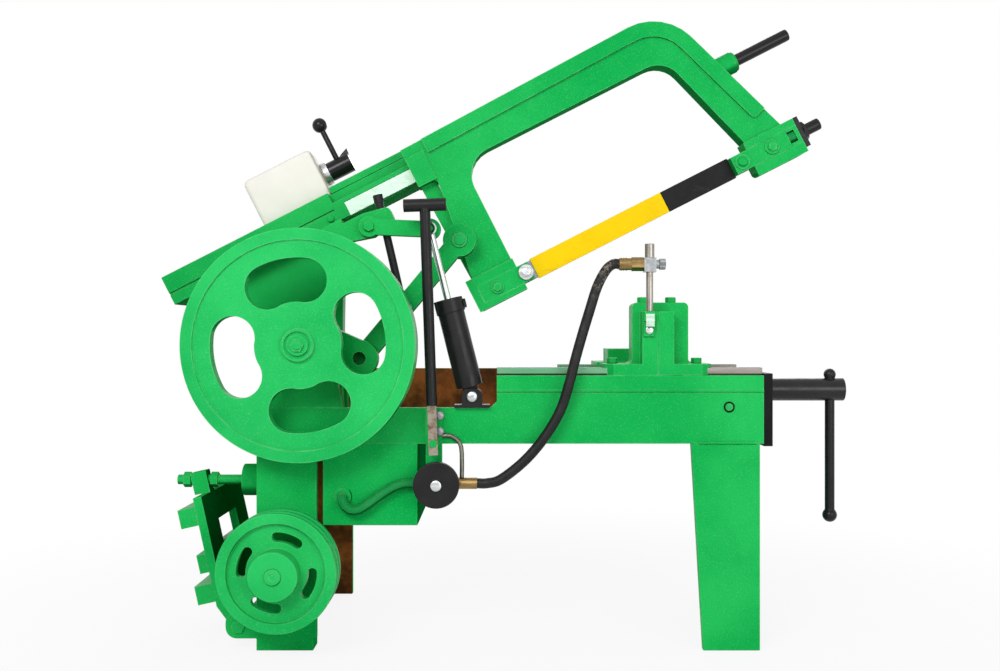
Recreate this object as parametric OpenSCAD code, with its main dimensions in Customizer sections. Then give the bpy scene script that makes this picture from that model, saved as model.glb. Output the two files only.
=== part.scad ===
// Power hacksaw: a C-shaped bow slides on a tilting guide beam and a crank drives it.
// X runs along the blade, Y away from the flywheel side, Z up. Millimetres.

/* [Bed and legs] */
// Left end of the bed, from the middle of the machine
bed_x0 = -391; // [-410:1:-380]
// Length of the bed
bed_l = 802; // [780:1:840]
// Depth of the bed, front to back
bed_d = 390; // [370:1:420]
// Height of the bed's top face
bed_z = 435; // [432:1:440]
// Height of the bed's walls
bed_h = 108; // [95:1:120]
// Thickness of the bed's walls
bed_wall = 12; // [10:1:14]
// Depth of the cut-out in the bed's front wall
cutout_h = 51; // [40:1:56]
// Right end of the cut-out in the bed's front wall
cutout_x1 = -11; // [-20:1:20]
// Left end of the bed's top plate
deck_x0 = 96; // [92:1:110]
// Thickness of the legs' folded plate
leg_t = 12; // [8:1:16]
// Width of the left leg's front face
left_leg_w = 95; // [85:1:110]
// Width of the right leg at its top
right_leg_w = 109; // [95:1:120]
// Width of the right leg at the floor
right_leg_foot_w = 90; // [70:1:94]
// Width of the ways that the vise stands on
way_w = 24; // [18:1:28]
// Height of the ways
way_h = 12; // [8:1:13]

/* [Flywheel drive] */
// Main shaft's place along X
shaft_x = -314; // [-318:1:-308]
// Main shaft's height
shaft_z = 483; // [478:1:488]
// Radius of the main shaft
shaft_r = 20; // [16:1:22]
// Radius of the flywheel
flywheel_r = 179; // [170:1:182]
// Width of the flywheel's rim
flywheel_w = 60; // [50:1:62]
// Thickness of the flywheel's web
flywheel_web = 22; // [16:1:30]
// Radius of the crank
crank_r = 85; // [75:1:88]
// Crank's angle from level
crank_a = -15; // [-30:1:0]
// Radius of the drive pulley
pulley_r = 91; // [84:1:96]
// Width of the drive pulley's rim
pulley_w = 50; // [40:1:54]
// Drive pulley's place along X
pulley_x = -343; // [-348:1:-338]
// Drive pulley's height
pulley_z = 140; // [130:1:150]
// Radius of the countershaft
countershaft_r = 12.5; // [10:0.5:15]

/* [Saw arm and bow] */
// Angle of the guide beam from level
arm_a = 27; // [25:1:28]
// Height of the guide beam's lower face over the shaft, square to the beam
beam_n = 166; // [164:1:168]
// Height of the guide beam's ground rail
rail_h = 32; // [28:1:33]
// Length of the guide beam to the left of the shaft
beam_tail = 180; // [160:1:190]
// Length of the guide beam to the right of the shaft
beam_reach = 400; // [360:1:410]
// Thickness of the bow
bow_t = 38; // [37.5:0.5:42]
// Length of the blade between its pins
blade_l = 400; // [390:1:405]
// Width of the blade
blade_w = 32; // [25:1:38]
// Thickness of the blade
blade_t = 2; // [1.5:0.1:2.6]
// Blade's distance below the shaft, square to the beam
blade_n = 53; // [50:1:56]
// Diameter of the bow's handle
handle_d = 20; // [16:1:24]
// Length of the bow's handle
handle_l = 122; // [90:1:130]

/* [Lift] */
// Outer radius of the lift cylinder
cylinder_r = 21; // [18:0.5:22]
// Length of the lift cylinder from its pin
cylinder_l = 158; // [140:1:160]
// Radius of the chrome rod
piston_r = 5.5; // [4:0.5:7]
// Radius of the control lever's rod
lever_r = 8.5; // [6:0.5:9]

/* [Vise] */
// Seam between the vise jaws, along X
jaw_x = 244; // [240:1:248]
// Length of each jaw's foot
jaw_foot_l = 86; // [80:1:90]
// Height of the jaws' feet
jaw_foot_h = 18; // [16:1:22]
// Height of the jaws over the bed
jaw_h = 116; // [100:1:120]
// Radius of the vise screw's sleeve
screw_r = 19; // [16:0.5:20]
// Height of the vise screw
screw_z = 407; // [404:1:408]
// Radius of the vise screw's thread
thread_r = 11; // [9:0.5:12]
// Radius of the tommy bar
tommy_r = 8; // [6:0.5:9]
// Length of the tommy bar
tommy_l = 249; // [200:1:260]

/* [Coolant] */
// Radius of the pump's wheel
pump_r = 36; // [30:1:38]
// Radius of the coolant hose
hose_r = 8; // [6:0.5:9]
// Thickness of the tank's wall
tank_wall = 4; // [3:0.5:6]
// Height of the tank
tank_h = 129; // [110:1:140]

/* [Hidden] */
$fn = 48;
// Radial clearance of a running fit
fit = 0.05;
// Clearance between faces that slide past each other
gap = 0.3;
// Overrun of cuts
over = 1;
// Straight steps in a rounded corner
arc_steps = 6;

bed_y0 = -140;
bed_x1 = bed_x0 + bed_l;
bed_y1 = bed_y0 + bed_d;
bed_base_z = bed_z - bed_h;
cutout_z = bed_z - cutout_h;
cutout_slope = 10;
deck_t = 14;
floor_t = 12;
weld_r = 2;
weld_drop = 25;
plug_r = 6;
plug_h = 2;
plug_in = 55;
plug_drop = 50;
plug_x = bed_x1 - plug_in;
plug_z = bed_z - plug_drop;

// Layers from front to back
wheel_gap = 6;
flywheel_y1 = bed_y0 - wheel_gap;
flywheel_y0 = flywheel_y1 - flywheel_w;
bow_y = -40;
bow_y0 = bow_y - bow_t / 2;
bow_y1 = bow_y + bow_t / 2;
bow_boss_h = 7.7;
rod_t = 24;
rod_y1 = bow_y0 - bow_boss_h - gap;
rod_y0 = rod_y1 - rod_t;
crank_t = 22;
crank_gap = 2;
crank_y1 = rod_y0 - crank_gap;
crank_y0 = crank_y1 - crank_t;
lift_y = bed_y0 + bed_wall / 2;
lift_arm_t = 12;
eye_t = 11;
eye_gap = 2;
lift_arm_y0 = lift_y + eye_t / 2 + eye_gap;
lift_arm_y1 = lift_arm_y0 + lift_arm_t;
arm_y0 = 0;
arm_t = 30;
arm_y1 = arm_y0 + arm_t;

// Sizes of the flywheel and the main bearing
rim_t = 18;
rim_step = 3;
hub_r = 26;
hub_cap_t = 5;
nut_r = 10.5;
nut_h = 8;
window_n = 4;
window_r = 100;
window_a = 11;
window_lobe_r = 34;
window_half_a = 17;
window_waist_r = 60;
window_waist_bite = 0.4;
bearing_r = 40;
bearing_y0 = flywheel_y0 + rim_step + flywheel_web + wheel_gap;
bearing_y1 = crank_y0 - crank_gap;
bearing_foot_w = 120;
crank_hub_r = 44;
crank_end_r = 30;
crank_side_share = 0.95;
rod_end_r = 23;
crank_pin_r = 10;
crank_pin_gap = 1;

// Sizes of the arm pivot
cheek_t = 21;
cheek_gap = 3;
cheek_r = 36;
cheek_foot_w = 92;
pivot_r = 18;
arm_hub_r = 45;
arm_foot_a0 = -110;
arm_foot_a1 = 132;
beam_body_h = 51;
beam_body_y1 = 60;
beam_back_a1 = 300;
beam_groove_n = 18;
rail_y1 = bow_y1 - gap;
strip_t = 3;
strip_a0 = 150;
strip_h = 24;

// Places on the bow, along the beam and square to it; its front follows the blade's length
blade_a0 = 367;
blade_a1 = blade_a0 + blade_l;
front_foot_in = 15;
front_foot_l = 91;
front_foot_a0 = blade_a1 + front_foot_in;
front_foot_a1 = front_foot_a0 + front_foot_l;
spine_back = 108;
spine_lip = 35;
front_heel = 20;
front_toe = 4;
slider_a = 273;
slider_n = 152;
slider_top_n = 221;
slider_block_n = 204;
spine_tip_a = front_foot_a1 - spine_back;
spine_tip_n = 232;
spine_round = 90;
inner_n = 158;
inner_a = 355;
inner_round = 47;
inner_tip_a = spine_tip_a - spine_lip;
inner_tip_round = 45;
rear_foot_a0 = 270;
rear_foot_a1 = 357;
rear_foot_n0 = -78;
rear_foot_n1 = -22;
rear_leg_low_a = 283;
rear_leg_high_a = 306;
front_foot_n0 = -86;
front_foot_n1 = -26;
front_leg_a = front_foot_a1 - front_heel;
front_inner_a = front_foot_a0 + front_toe;
foot_round = 7;
foot_raise = 6;
rim_w = 25;
rim_raise = 5;
pocket_a1 = 545;
wrist_a = 293;
wrist_n = 42;
wrist_r = 13;
rod_boss_r = 27;
rod_w = 32;
keeper_t = 8;
keeper_a0 = 276;
keeper_a1 = 396;
keeper_n1 = 208;
blade_end = 9;
blade_y0 = bow_y - blade_t / 2 - gap;
blade_y1 = blade_y0 + blade_t;
pin_r = 4.5;
washer_r = 12;
washer_t = 3;
clamp_h = 30;
rear_clamp_a0 = 284;
rear_clamp_end = 9;
tension_travel = 6;
front_clamp_end = 15;
front_clamp_in = 20;
front_clamp_a0 = blade_a1 - front_clamp_end;
front_clamp_a1 = front_foot_a1 - front_clamp_in;
end_plate_t = 8;
tension_r = 10;
tension_l = 30;
sleeve_share = 0.65;
sleeve_split_a = blade_a0 + sleeve_share * blade_l;
sleeve_a0 = blade_a0 + rear_clamp_end + tension_travel + over;
sleeve_t = 9;
sleeve_h = 36;
handle_back = 61;
handle_a = front_foot_a1 - handle_back;
handle_n = 104;
collar_r = 18;
collar_l = 22;
bolt_r = 8;
bolt_h = 6;

// Shapes that repeat
function unit(v) = v / norm(v);
function corner_points(p, q, r, radius) =
    let (u = unit(p - q),
         v = unit(r - q),
         half = acos(u * v) / 2,
         c = q + unit(u + v) * radius / sin(half),
         s = q + u * radius / tan(half) - c,
         e = q + v * radius / tan(half) - c,
         a0 = atan2(s[1], s[0]),
         turn = (atan2(e[1], e[0]) - a0 + 540) % 360 - 180)
    [for (i = [0:arc_steps])
        let (a = a0 + turn * i / arc_steps)
        c + radius * [cos(a), sin(a)]];
function rounded(points, radii) =
    let (n = len(points))
    [for (i = [0:n - 1])
        each radii[i] == 0 ? [points[i]]
            : corner_points(points[(i + n - 1) % n], points[i], points[(i + 1) % n], radii[i])];

// A flat shape drawn in X and Z, as thick as from y0 to y1
module slab(y0, y1) {
    translate([0, y1, 0]) rotate([90, 0, 0]) linear_extrude(y1 - y0) children();
}
module box(p, q) {
    translate(p) cube(q - p);
}
module rod_x(r, x0, x1) {
    translate([x0, 0, 0]) rotate([0, 90, 0]) cylinder(h = x1 - x0, r = r);
}
module rod_y(r, y0, y1) {
    translate([0, y0, 0]) rotate([-90, 0, 0]) cylinder(h = y1 - y0, r = r);
}
module rod_z(r, z0, z1) {
    translate([0, 0, z0]) cylinder(h = z1 - z0, r = r);
}
module hex_y(r, y0, y1) {
    translate([0, y0, 0]) rotate([-90, 0, 0]) cylinder(h = y1 - y0, r = r, $fn = 6);
}
module hex_z(r, z0, z1) {
    translate([0, 0, z0]) cylinder(h = z1 - z0, r = r, $fn = 6);
}
// The frame of the saw arm: X along the beam, Z square to it, from the shaft
module arm_frame() {
    translate([shaft_x, 0, shaft_z]) rotate([0, -arm_a, 0]) children();
}
module rect(x0, x1, z0, z1) {
    translate([x0, z0]) square([x1 - x0, z1 - z0]);
}

// Welded bed: a box open below, cut down on its left where the crank turns
nut_slot_back = 4;
nut_slot_x0 = jaw_x - nut_slot_back;
nut_slot_end = 18;
nut_w = 40;
screw_y = -20;
module bed() {
    color("#0fb556") difference() {
        union() {
            slab(bed_y0, bed_y0 + bed_wall) polygon([
                [bed_x0, bed_base_z], [bed_x1, bed_base_z], [bed_x1, bed_z], [cutout_x1, bed_z],
                [cutout_x1, cutout_z + cutout_slope], [cutout_x1 - cutout_slope, cutout_z],
                [bed_x0, cutout_z]]);
            slab(bed_y1 - bed_wall, bed_y1) rect(bed_x0, bed_x1, bed_base_z, bed_z);
            box([bed_x1 - bed_wall, bed_y0, bed_base_z], [bed_x1, bed_y1, bed_z]);
            box([bed_x0, bed_y0, bed_base_z], [bed_x0 + bed_wall, bed_y1, cutout_z]);
            box([deck_x0, bed_y0, bed_z - deck_t], [bed_x1, bed_y1, bed_z]);
            box([bed_x0, bed_y0, bed_base_z], [bed_x0 + bed_floor_l, bed_y1, bed_base_z + floor_t]);
            translate([0, bed_y0, bed_z - weld_drop]) rod_x(weld_r, cutout_x1, bed_x1);
            translate([plug_x, 0, plug_z]) rod_y(plug_r, bed_y0 - plug_h, bed_y0 + over);
        }
        box([nut_slot_x0, screw_y - nut_w / 2 - over, bed_z - deck_t - over],
            [bed_x1 - nut_slot_end, screw_y + nut_w / 2 + over, bed_z + over]);
        translate([0, screw_y, screw_z]) rod_x(thread_r + fit, bed_x1 - bed_wall - over, bed_x1 + over);
        translate([shaft_x, 0, shaft_z]) rod_y(bearing_r, bearing_y0 - over, bearing_y1 + over);
    }
}
bed_floor_l = 150;

way_inset = 10;
way_rear_y = 60;
module ways() {
    color("#b9bcc0") for (y = [bed_y0 + way_inset, way_rear_y])
        box([y == way_rear_y ? deck_x0 : cutout_x1, y, bed_z], [bed_x1, y + way_w, bed_z + way_h]);
}

// Right leg: a folded plate, open to the left
right_leg_in = 6;
right_leg_x1 = bed_x1 - right_leg_in;
right_leg_lip = 18;
module right_leg() {
    color("#0fb556") {
        slab(bed_y0, bed_y0 + leg_t) polygon([
            [right_leg_x1 - right_leg_foot_w, 0], [right_leg_x1, 0],
            [right_leg_x1, bed_base_z], [right_leg_x1 - right_leg_w, bed_base_z]]);
        box([right_leg_x1 - leg_t, bed_y0, 0], [right_leg_x1, bed_y1, bed_base_z]);
        box([right_leg_x1 - right_leg_lip, bed_y1 - leg_t, 0], [right_leg_x1, bed_y1, bed_base_z]);
    }
}

// Left leg: a folded plate, open to the right, with lugs for the motor plate
rear_flange_w = 101;
foot_h = 19;
foot_in = 11;
foot_out = 5;
foot_d = 40;
lug_l = 49;
lug_h = 43;
lug_round = 18;
hinge_x = -420;
hinge_z = 38;
hinge_r = 7;
hinge_head_h = 4;
motor_plate_d = 256;
motor_y0 = bed_y0 + leg_t + gap;
motor_y1 = motor_y0 + motor_plate_d;
housing_r = 32;
housing_front = 22;
housing_l = 90;
pulley_lead = 22;
pulley_y0 = flywheel_y0 - pulley_lead;
pulley_y1 = pulley_y0 + pulley_w;
module lug() {
    difference() {
        polygon(rounded([
            [bed_x0 - lug_l, foot_h], [bed_x0 + leg_t, foot_h], [bed_x0 + leg_t, foot_h + lug_h],
            [bed_x0 - lug_l, foot_h + lug_h]], [lug_round, 0, 0, lug_round]));
        translate([hinge_x, hinge_z]) circle(hinge_r);
    }
}
module left_leg() {
    color("#0fb556") difference() {
        union() {
            box([bed_x0, bed_y0, foot_h], [bed_x0 + left_leg_w, bed_y0 + leg_t, bed_base_z]);
            box([bed_x0, bed_y0, 0], [bed_x0 + leg_t, bed_y1, bed_base_z]);
            box([bed_x0, bed_y1 - leg_t, 0], [bed_x0 + rear_flange_w, bed_y1, bed_base_z]);
            box([bed_x0 + foot_in, bed_y0, 0], [bed_x0 + left_leg_w - foot_out, bed_y0 + foot_d, foot_h]);
            slab(bed_y0, bed_y0 + leg_t) lug();
            slab(motor_y1 + gap, motor_y1 + gap + leg_t) lug();
            translate([pulley_x, 0, pulley_z])
                rod_y(housing_r, bed_y0 - housing_front, bed_y0 - housing_front + housing_l);
            translate([0, stub_y, hinge_z + tie_z]) rod_x(stub_pipe_r, bed_x0 - stub_pipe_l, bed_x0);
        }
        translate([pulley_x, 0, pulley_z])
            rod_y(countershaft_r + fit, bed_y0 - housing_front - over,
                  bed_y0 - housing_front + housing_l + over);
        translate([0, stub_y, hinge_z + tie_z])
            rod_x(stub_bore_r, bed_x0 - stub_pipe_l - over, bed_x0 + leg_t + over);
    }
}
module motor_hinge_pin() {
    color("#3a3d40") translate([hinge_x, 0, hinge_z]) {
        rod_y(hinge_r, bed_y0, motor_y1 + gap + leg_t);
        hex_y(hinge_r + hinge_head_h, bed_y0 - hinge_head_h, bed_y0);
    }
}
module countershaft() {
    color("#9a9da1") translate([pulley_x, 0, pulley_z]) {
        rod_y(countershaft_r, pulley_y0 - pulley_boss_h, bed_y0 - housing_front + housing_l + collar_t);
        translate([0, bed_y0 - housing_front + housing_l + gap, 0])
            rod_y(countershaft_r + collar_t, 0, collar_t - gap);
    }
}
collar_t = 8;
pulley_boss_h = 22;
pulley_boss_r = 37;
pulley_rim_t = 16;
pulley_web = 14;
pulley_step = 8;
pulley_slot_r = 54;
pulley_slot_w = 14;
pulley_slot_half_a = 18;
pulley_slot_a = 72;
groove_n = 2;
groove_w = 13;
groove_d = 9;
groove_floor = 5;
// A slot that bends round the origin, with round ends
module curved_slot(r, w, half_a) {
    for (a = [-half_a, half_a]) rotate(a) translate([r, 0]) circle(w / 2);
    curved_band(r, w, half_a);
}
module drive_pulley() {
    groove_gap = (pulley_w - groove_n * groove_w) / (groove_n + 1);
    color("#12b455") translate([pulley_x, 0, pulley_z]) difference() {
        union() {
            translate([0, pulley_y1, 0]) rotate([90, 0, 0]) rotate_extrude() difference() {
                translate([pulley_r - pulley_rim_t, 0]) square([pulley_rim_t, pulley_w]);
                for (i = [0:groove_n - 1]) translate([pulley_r, groove_gap + i * (groove_w + groove_gap)])
                    polygon([[over, 0], [over, groove_w], [0, groove_w],
                             [-groove_d, (groove_w + groove_floor) / 2],
                             [-groove_d, (groove_w - groove_floor) / 2], [0, 0]]);
            }
            rod_y(pulley_r - pulley_rim_t, pulley_y0 + pulley_step, pulley_y0 + pulley_step + pulley_web);
            rod_y(pulley_boss_r, pulley_y0 - pulley_boss_h, pulley_y1);
        }
        rod_y(countershaft_r, pulley_y0 - pulley_boss_h - over, pulley_y1 + over);
        slab(pulley_y0, pulley_y1) for (i = [0:3]) rotate(pulley_slot_a + i * 90)
            curved_slot(pulley_slot_r, pulley_slot_w, pulley_slot_half_a);
    }
}

// Front bearing of the main shaft, welded on the bed's front wall
module main_bearing() {
    color("#0fae52") translate([shaft_x, 0, shaft_z]) difference() {
        union() {
            slab(bed_y0, bed_y0 + bed_wall) {
                circle(bearing_r);
                polygon([[-bearing_foot_w / 2, cutout_z - shaft_z], [bearing_foot_w / 2, cutout_z - shaft_z],
                         [bearing_r, 0], [-bearing_r, 0]]);
            }
            rod_y(bearing_r, bearing_y0, bearing_y1);
        }
        rod_y(shaft_r + fit, bearing_y0 - over, bearing_y1 + over);
    }
}
// Kidney window: two round lobes joined outside by a band and inside by a hollow curve
module kidney() {
    lobe = [window_r * cos(window_half_a), window_r * sin(window_half_a)];
    reach = window_lobe_r + window_waist_r - window_waist_bite;
    waist = [lobe[0] - sqrt(reach * reach - lobe[1] * lobe[1]), 0];
    for (a = [-window_half_a, window_half_a]) rotate(a) translate([window_r, 0]) circle(window_lobe_r);
    curved_band(window_r + window_lobe_r / 2, window_lobe_r, window_half_a);
    difference() {
        polygon([waist, [lobe[0], -lobe[1]], [window_r, 0], lobe]);
        translate(waist) circle(window_waist_r);
    }
}
function arc_point(r, half_a, i) = r * [cos(half_a * i / arc_steps), sin(half_a * i / arc_steps)];
module curved_band(r, w, half_a) {
    polygon([for (i = [-arc_steps:arc_steps]) arc_point(r + w / 2, half_a, i),
             for (i = [arc_steps:-1:-arc_steps]) arc_point(r - w / 2, half_a, i)]);
}
module flywheel() {
    web_y0 = flywheel_y0 + rim_step;
    color("#2fc46c") translate([shaft_x, 0, shaft_z]) difference() {
        union() {
            difference() {
                rod_y(flywheel_r, flywheel_y0, flywheel_y1);
                rod_y(flywheel_r - rim_t, flywheel_y0 - over, flywheel_y1 + over);
            }
            rod_y(flywheel_r - rim_t, web_y0, web_y0 + flywheel_web);
            rod_y(hub_r, flywheel_y0, web_y0 + flywheel_web);
            hex_y(nut_r, flywheel_y0 - nut_h, flywheel_y0);
        }
        rod_y(shaft_r, flywheel_y0 + hub_cap_t, flywheel_y1 + over);
        slab(flywheel_y0, flywheel_y1) for (i = [0:window_n - 1])
            rotate(window_a + i * 360 / window_n) kidney();
    }
}
crank_x = crank_r * cos(crank_a);
crank_z = crank_r * sin(crank_a);
module crankshaft() {
    taper = asin((crank_hub_r - crank_end_r) / crank_r);
    hub_side = crank_side_share * crank_hub_r * [sin(taper), cos(taper)];
    end_side = crank_side_share * crank_end_r * [sin(taper), cos(taper)];
    color("#0fae52") translate([shaft_x, 0, shaft_z]) {
        rod_y(shaft_r, flywheel_y0 + hub_cap_t, crank_y1);
        slab(crank_y0, crank_y1) difference() {
            union() {
                circle(crank_hub_r);
                rotate(crank_a) polygon([
                    hub_side, [crank_r, 0] + end_side, [crank_r + end_side[0], -end_side[1]],
                    [hub_side[0], -hub_side[1]]]);
                translate([crank_x, crank_z]) circle(crank_end_r);
            }
            translate([crank_x, crank_z]) circle(crank_pin_r + gap);
        }
    }
}
wrist_x = wrist_a * cos(arm_a) - wrist_n * sin(arm_a);
wrist_z = wrist_a * sin(arm_a) + wrist_n * cos(arm_a);
rod_l = norm([wrist_x - crank_x, wrist_z - crank_z]);
rod_a = atan2(wrist_z - crank_z, wrist_x - crank_x);
module connecting_rod() {
    color("#0fae52") translate([shaft_x + crank_x, 0, shaft_z + crank_z]) rotate([0, -rod_a, 0])
        slab(rod_y0, rod_y1) difference() {
            union() {
                circle(rod_end_r);
                rect(0, rod_l, -rod_w / 2, rod_w / 2);
                translate([rod_l, 0]) circle(rod_boss_r);
            }
            circle(crank_pin_r);
            translate([rod_l, 0]) circle(wrist_r + fit);
        }
}
// Crank pin, held in the rod and ending just short of the crank
crank_head_h = 4;
module crank_pin() {
    color("#8d9196") translate([shaft_x + crank_x, 0, shaft_z + crank_z]) {
        rod_y(crank_pin_r, rod_y0 - crank_pin_gap, rod_y1);
        rod_y(crank_pin_r + crank_head_h, rod_y1, rod_y1 + crank_head_h);
    }
}
// Two cheeks on the bed's floor that carry the saw arm's pivot
module arm_pedestal() {
    color("#0fae52") translate([shaft_x, 0, 0])
        for (y = [arm_y0 - cheek_gap - cheek_t, arm_y1 + cheek_gap]) slab(y, y + cheek_t) difference() {
            union() {
                translate([0, shaft_z]) circle(cheek_r);
                polygon([[-cheek_foot_w / 2, bed_base_z + floor_t], [cheek_foot_w / 2, bed_base_z + floor_t],
                         [cheek_r, shaft_z], [-cheek_r, shaft_z]]);
            }
            translate([0, shaft_z]) circle(pivot_r);
        }
}
module arm_pivot_pin() {
    color("#8d9196") translate([shaft_x, 0, shaft_z])
        rod_y(pivot_r, arm_y0 - cheek_gap - cheek_t - over, arm_y1 + cheek_gap + cheek_t + over);
}
arm_neck_w = 88;
module saw_arm() {
    color("#0fb556") arm_frame() slab(arm_y0, arm_y1) difference() {
        union() {
            circle(arm_hub_r);
            polygon([[-arm_neck_w / 2, 0], [arm_neck_w / 2, 0],
                     [arm_foot_a1, beam_n], [arm_foot_a0, beam_n]]);
        }
        circle(pivot_r + fit);
    }
}
// Guide beam: a ground rail for the bow, with a deep body behind the bow's travel and its keeper
module guide_beam() {
    color("#0fb556") arm_frame() difference() {
        union() {
            slab(bow_y, rail_y1) rect(-beam_tail, beam_reach, beam_n, beam_n + rail_h);
            slab(bow_y, beam_body_y1) rect(-beam_tail, arm_foot_a1, beam_n, beam_n + beam_body_h);
            slab(bow_y1 + keeper_t + over, beam_body_y1)
                rect(arm_foot_a1 - over, beam_back_a1, beam_n, beam_n + beam_body_h);
        }
        slab(bow_y - over, bow_y + strip_t)
            rect(strip_a0, beam_reach + over, beam_n - over, beam_n + strip_h);
        slab(bow_y - over, bow_y + strip_t)
            rect(-beam_tail - over, arm_foot_a1 - strip_t, beam_n + beam_groove_n,
                 beam_n + beam_groove_n + strip_t);
    }
}
module guide_strip() {
    color("#d5d7d4") arm_frame()
        slab(bow_y, bow_y + strip_t) rect(strip_a0, beam_reach, beam_n, beam_n + strip_h);
}
// Outline of the bow, along the beam and square to it
module bow_outline() {
    polygon(rounded([
        [slider_a, slider_top_n], [slider_a, slider_n], [rear_leg_high_a, slider_n],
        [rear_leg_low_a, rear_foot_n1], [rear_foot_a0, rear_foot_n1], [rear_foot_a0, rear_foot_n0],
        [rear_foot_a1, rear_foot_n0], [rear_foot_a1, rear_foot_n1], [inner_a, rear_foot_n1], [inner_a, inner_n],
        [inner_tip_a, inner_n], [front_inner_a, front_foot_n1], [front_foot_a0, front_foot_n1],
        [front_foot_a0, front_foot_n0], [front_foot_a1, front_foot_n0], [front_foot_a1, front_foot_n1],
        [front_leg_a, front_foot_n1], [spine_tip_a, spine_tip_n]],
        [0, 0, foot_round, 0, 0, foot_round, 0, 0, 0, inner_round,
         inner_tip_round, 0, 0, foot_round, foot_round, 0, 0, spine_round]));
}
// Raised rim along the bow's outer edge
rim_a0 = 312;
rim_end_share = 0.86;
// The way square to a line from p to q, to its right
function inward(p, q) = let (u = unit(q - p)) [u[1], -u[0]];
module bow_rim() {
    tip = [spine_tip_a, spine_tip_n];
    spine_rise = (spine_tip_n - slider_top_n) / (spine_tip_a - slider_a);
    start = [rim_a0, slider_top_n + spine_rise * (rim_a0 - slider_a)];
    end = tip + rim_end_share * ([front_leg_a, front_foot_n1] - tip);
    in0 = inward(start, tip);
    in1 = inward(tip, end);
    polygon(rounded([start, tip, end, end + rim_w * in1, tip + rim_w * (in0 + in1) / (1 + in0 * in1),
                     start + rim_w * in0],
                    [0, spine_round, 0, foot_round, spine_round - rim_w, 0]));
}
clamp_n0 = -blade_n - clamp_h / 2;
clamp_n1 = -blade_n + clamp_h / 2;
module bow_frame() {
    color("#0fb556") arm_frame() difference() {
        union() {
            slab(bow_y0, bow_y1) bow_outline();
            slab(bow_y0 - rim_raise, bow_y0) bow_rim();
            slab(bow_y0 - bow_boss_h, bow_y0) translate([wrist_a, wrist_n]) circle(rod_boss_r);
            slab(bow_y0 - foot_raise, bow_y0) {
                rect(rear_foot_a0, rear_foot_a1, rear_foot_n0, rear_foot_n1);
                rect(front_foot_a0, front_foot_a1, front_foot_n0, front_foot_n1);
                rect(slider_a, rear_leg_high_a, slider_n, slider_block_n);
            }
            slab(bow_y0, bow_y1) translate([wrist_a, wrist_n]) circle(rod_boss_r);
            translate([0, bow_y, handle_n]) rod_x(collar_r, handle_root_a, handle_a + collar_l);
        }
        slab(bow_y - gap, bow_y1 + over)
            rect(slider_a - over, pocket_a1, beam_n - gap, beam_n + rail_h + gap);
        slab(bow_y0 - bow_boss_h - over, bow_y1 + over) translate([wrist_a, wrist_n]) circle(wrist_r);
        slab(bow_y0 - foot_raise - over, blade_y0)
            rect(rear_clamp_a0, rear_foot_a1 + over, clamp_n0, clamp_n1);
        slab(blade_y0 - over, blade_y1 + gap)
            rect(rear_foot_a1 - blade_slack, rear_foot_a1 + over, -blade_n - blade_w / 2 - gap,
                 -blade_n + blade_w / 2 + gap);
        slab(bow_y0 - foot_raise - over, blade_y0 + gap)
            rect(front_foot_a0 - over, front_foot_a1 + over, clamp_n0 - gap, clamp_n1 + gap);
        translate([0, bow_y, handle_n]) rod_x(handle_d / 2, handle_a, handle_a + collar_l + over);
    }
}
handle_root_a = handle_a - collar_l;
blade_slack = 2 * tension_travel;
module wrist_pin() {
    color("#2fc46c") arm_frame() translate([wrist_a, 0, wrist_n]) {
        rod_y(wrist_r, rod_y0 - gap, bow_y1);
    }
}
// Plate behind the bow that keeps it on the rail
module slide_keeper() {
    color("#0fae52") arm_frame() slab(bow_y1, bow_y1 + keeper_t)
        rect(keeper_a0, keeper_a1, inner_n, keeper_n1);
}

// Blade, its clamps and its tension screw
clamp_y0 = bow_y0 - foot_raise;
clamp_y = (clamp_y0 + blade_y0) / 2;
blade_y = (blade_y0 + blade_y1) / 2;
clamp_bolt_a = 314;
slide_bolt_in = 55;
slide_bolt_a = blade_a1 + slide_bolt_in;
pin_end = 3;
module blade_pin(a) {
    translate([a, 0, -blade_n]) {
        rod_y(pin_r, clamp_y0 - washer_t, blade_y1 + pin_end);
        rod_y(washer_r, clamp_y0 - washer_t, clamp_y0);
    }
}
module clamp_bolt(a) {
    translate([a, 0, -blade_n]) hex_y(bolt_r, clamp_y0 - bolt_h, clamp_y0);
}
module rear_blade_clamp() {
    color("#0fb556") arm_frame() {
        slab(clamp_y0, blade_y0) rect(rear_clamp_a0, blade_a0 + rear_clamp_end, clamp_n0, clamp_n1);
        blade_pin(blade_a0);
        clamp_bolt(clamp_bolt_a);
    }
}
module blade_slide() {
    color("#0fb556") arm_frame() {
        slab(clamp_y0, blade_y0) rect(front_clamp_a0, front_clamp_a1, clamp_n0, clamp_n1);
        blade_pin(blade_a1);
        clamp_bolt(slide_bolt_a);
    }
}
module blade() {
    color("#8a8d90") arm_frame() slab(blade_y0, blade_y1) difference() {
        rect(blade_a0 - blade_end, blade_a1 + blade_end, -blade_n - blade_w / 2, -blade_n + blade_w / 2);
        translate([blade_a1, -blade_n]) circle(pin_r);
        for (a = [blade_a0, blade_a0 + tension_travel]) translate([a, -blade_n]) circle(pin_r + fit);
        rect(blade_a0, blade_a0 + tension_travel, -blade_n - pin_r - fit, -blade_n + pin_r + fit);
    }
}
module sleeve(a0, a1) {
    arm_frame() difference() {
        slab(blade_y - sleeve_t / 2, blade_y + sleeve_t / 2)
            rect(a0, a1, -blade_n - sleeve_h / 2, -blade_n + sleeve_h / 2);
        slab(blade_y0, blade_y1) rect(a0 - over, a1 + over, -blade_n - blade_w / 2, -blade_n + blade_w / 2);
    }
}
module blade_sleeve() {
    color("#f2c500") sleeve(sleeve_a0, sleeve_split_a);
}
module blade_sleeve_end() {
    color("#1b1b1d") sleeve(sleeve_split_a, front_clamp_a0);
}
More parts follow.
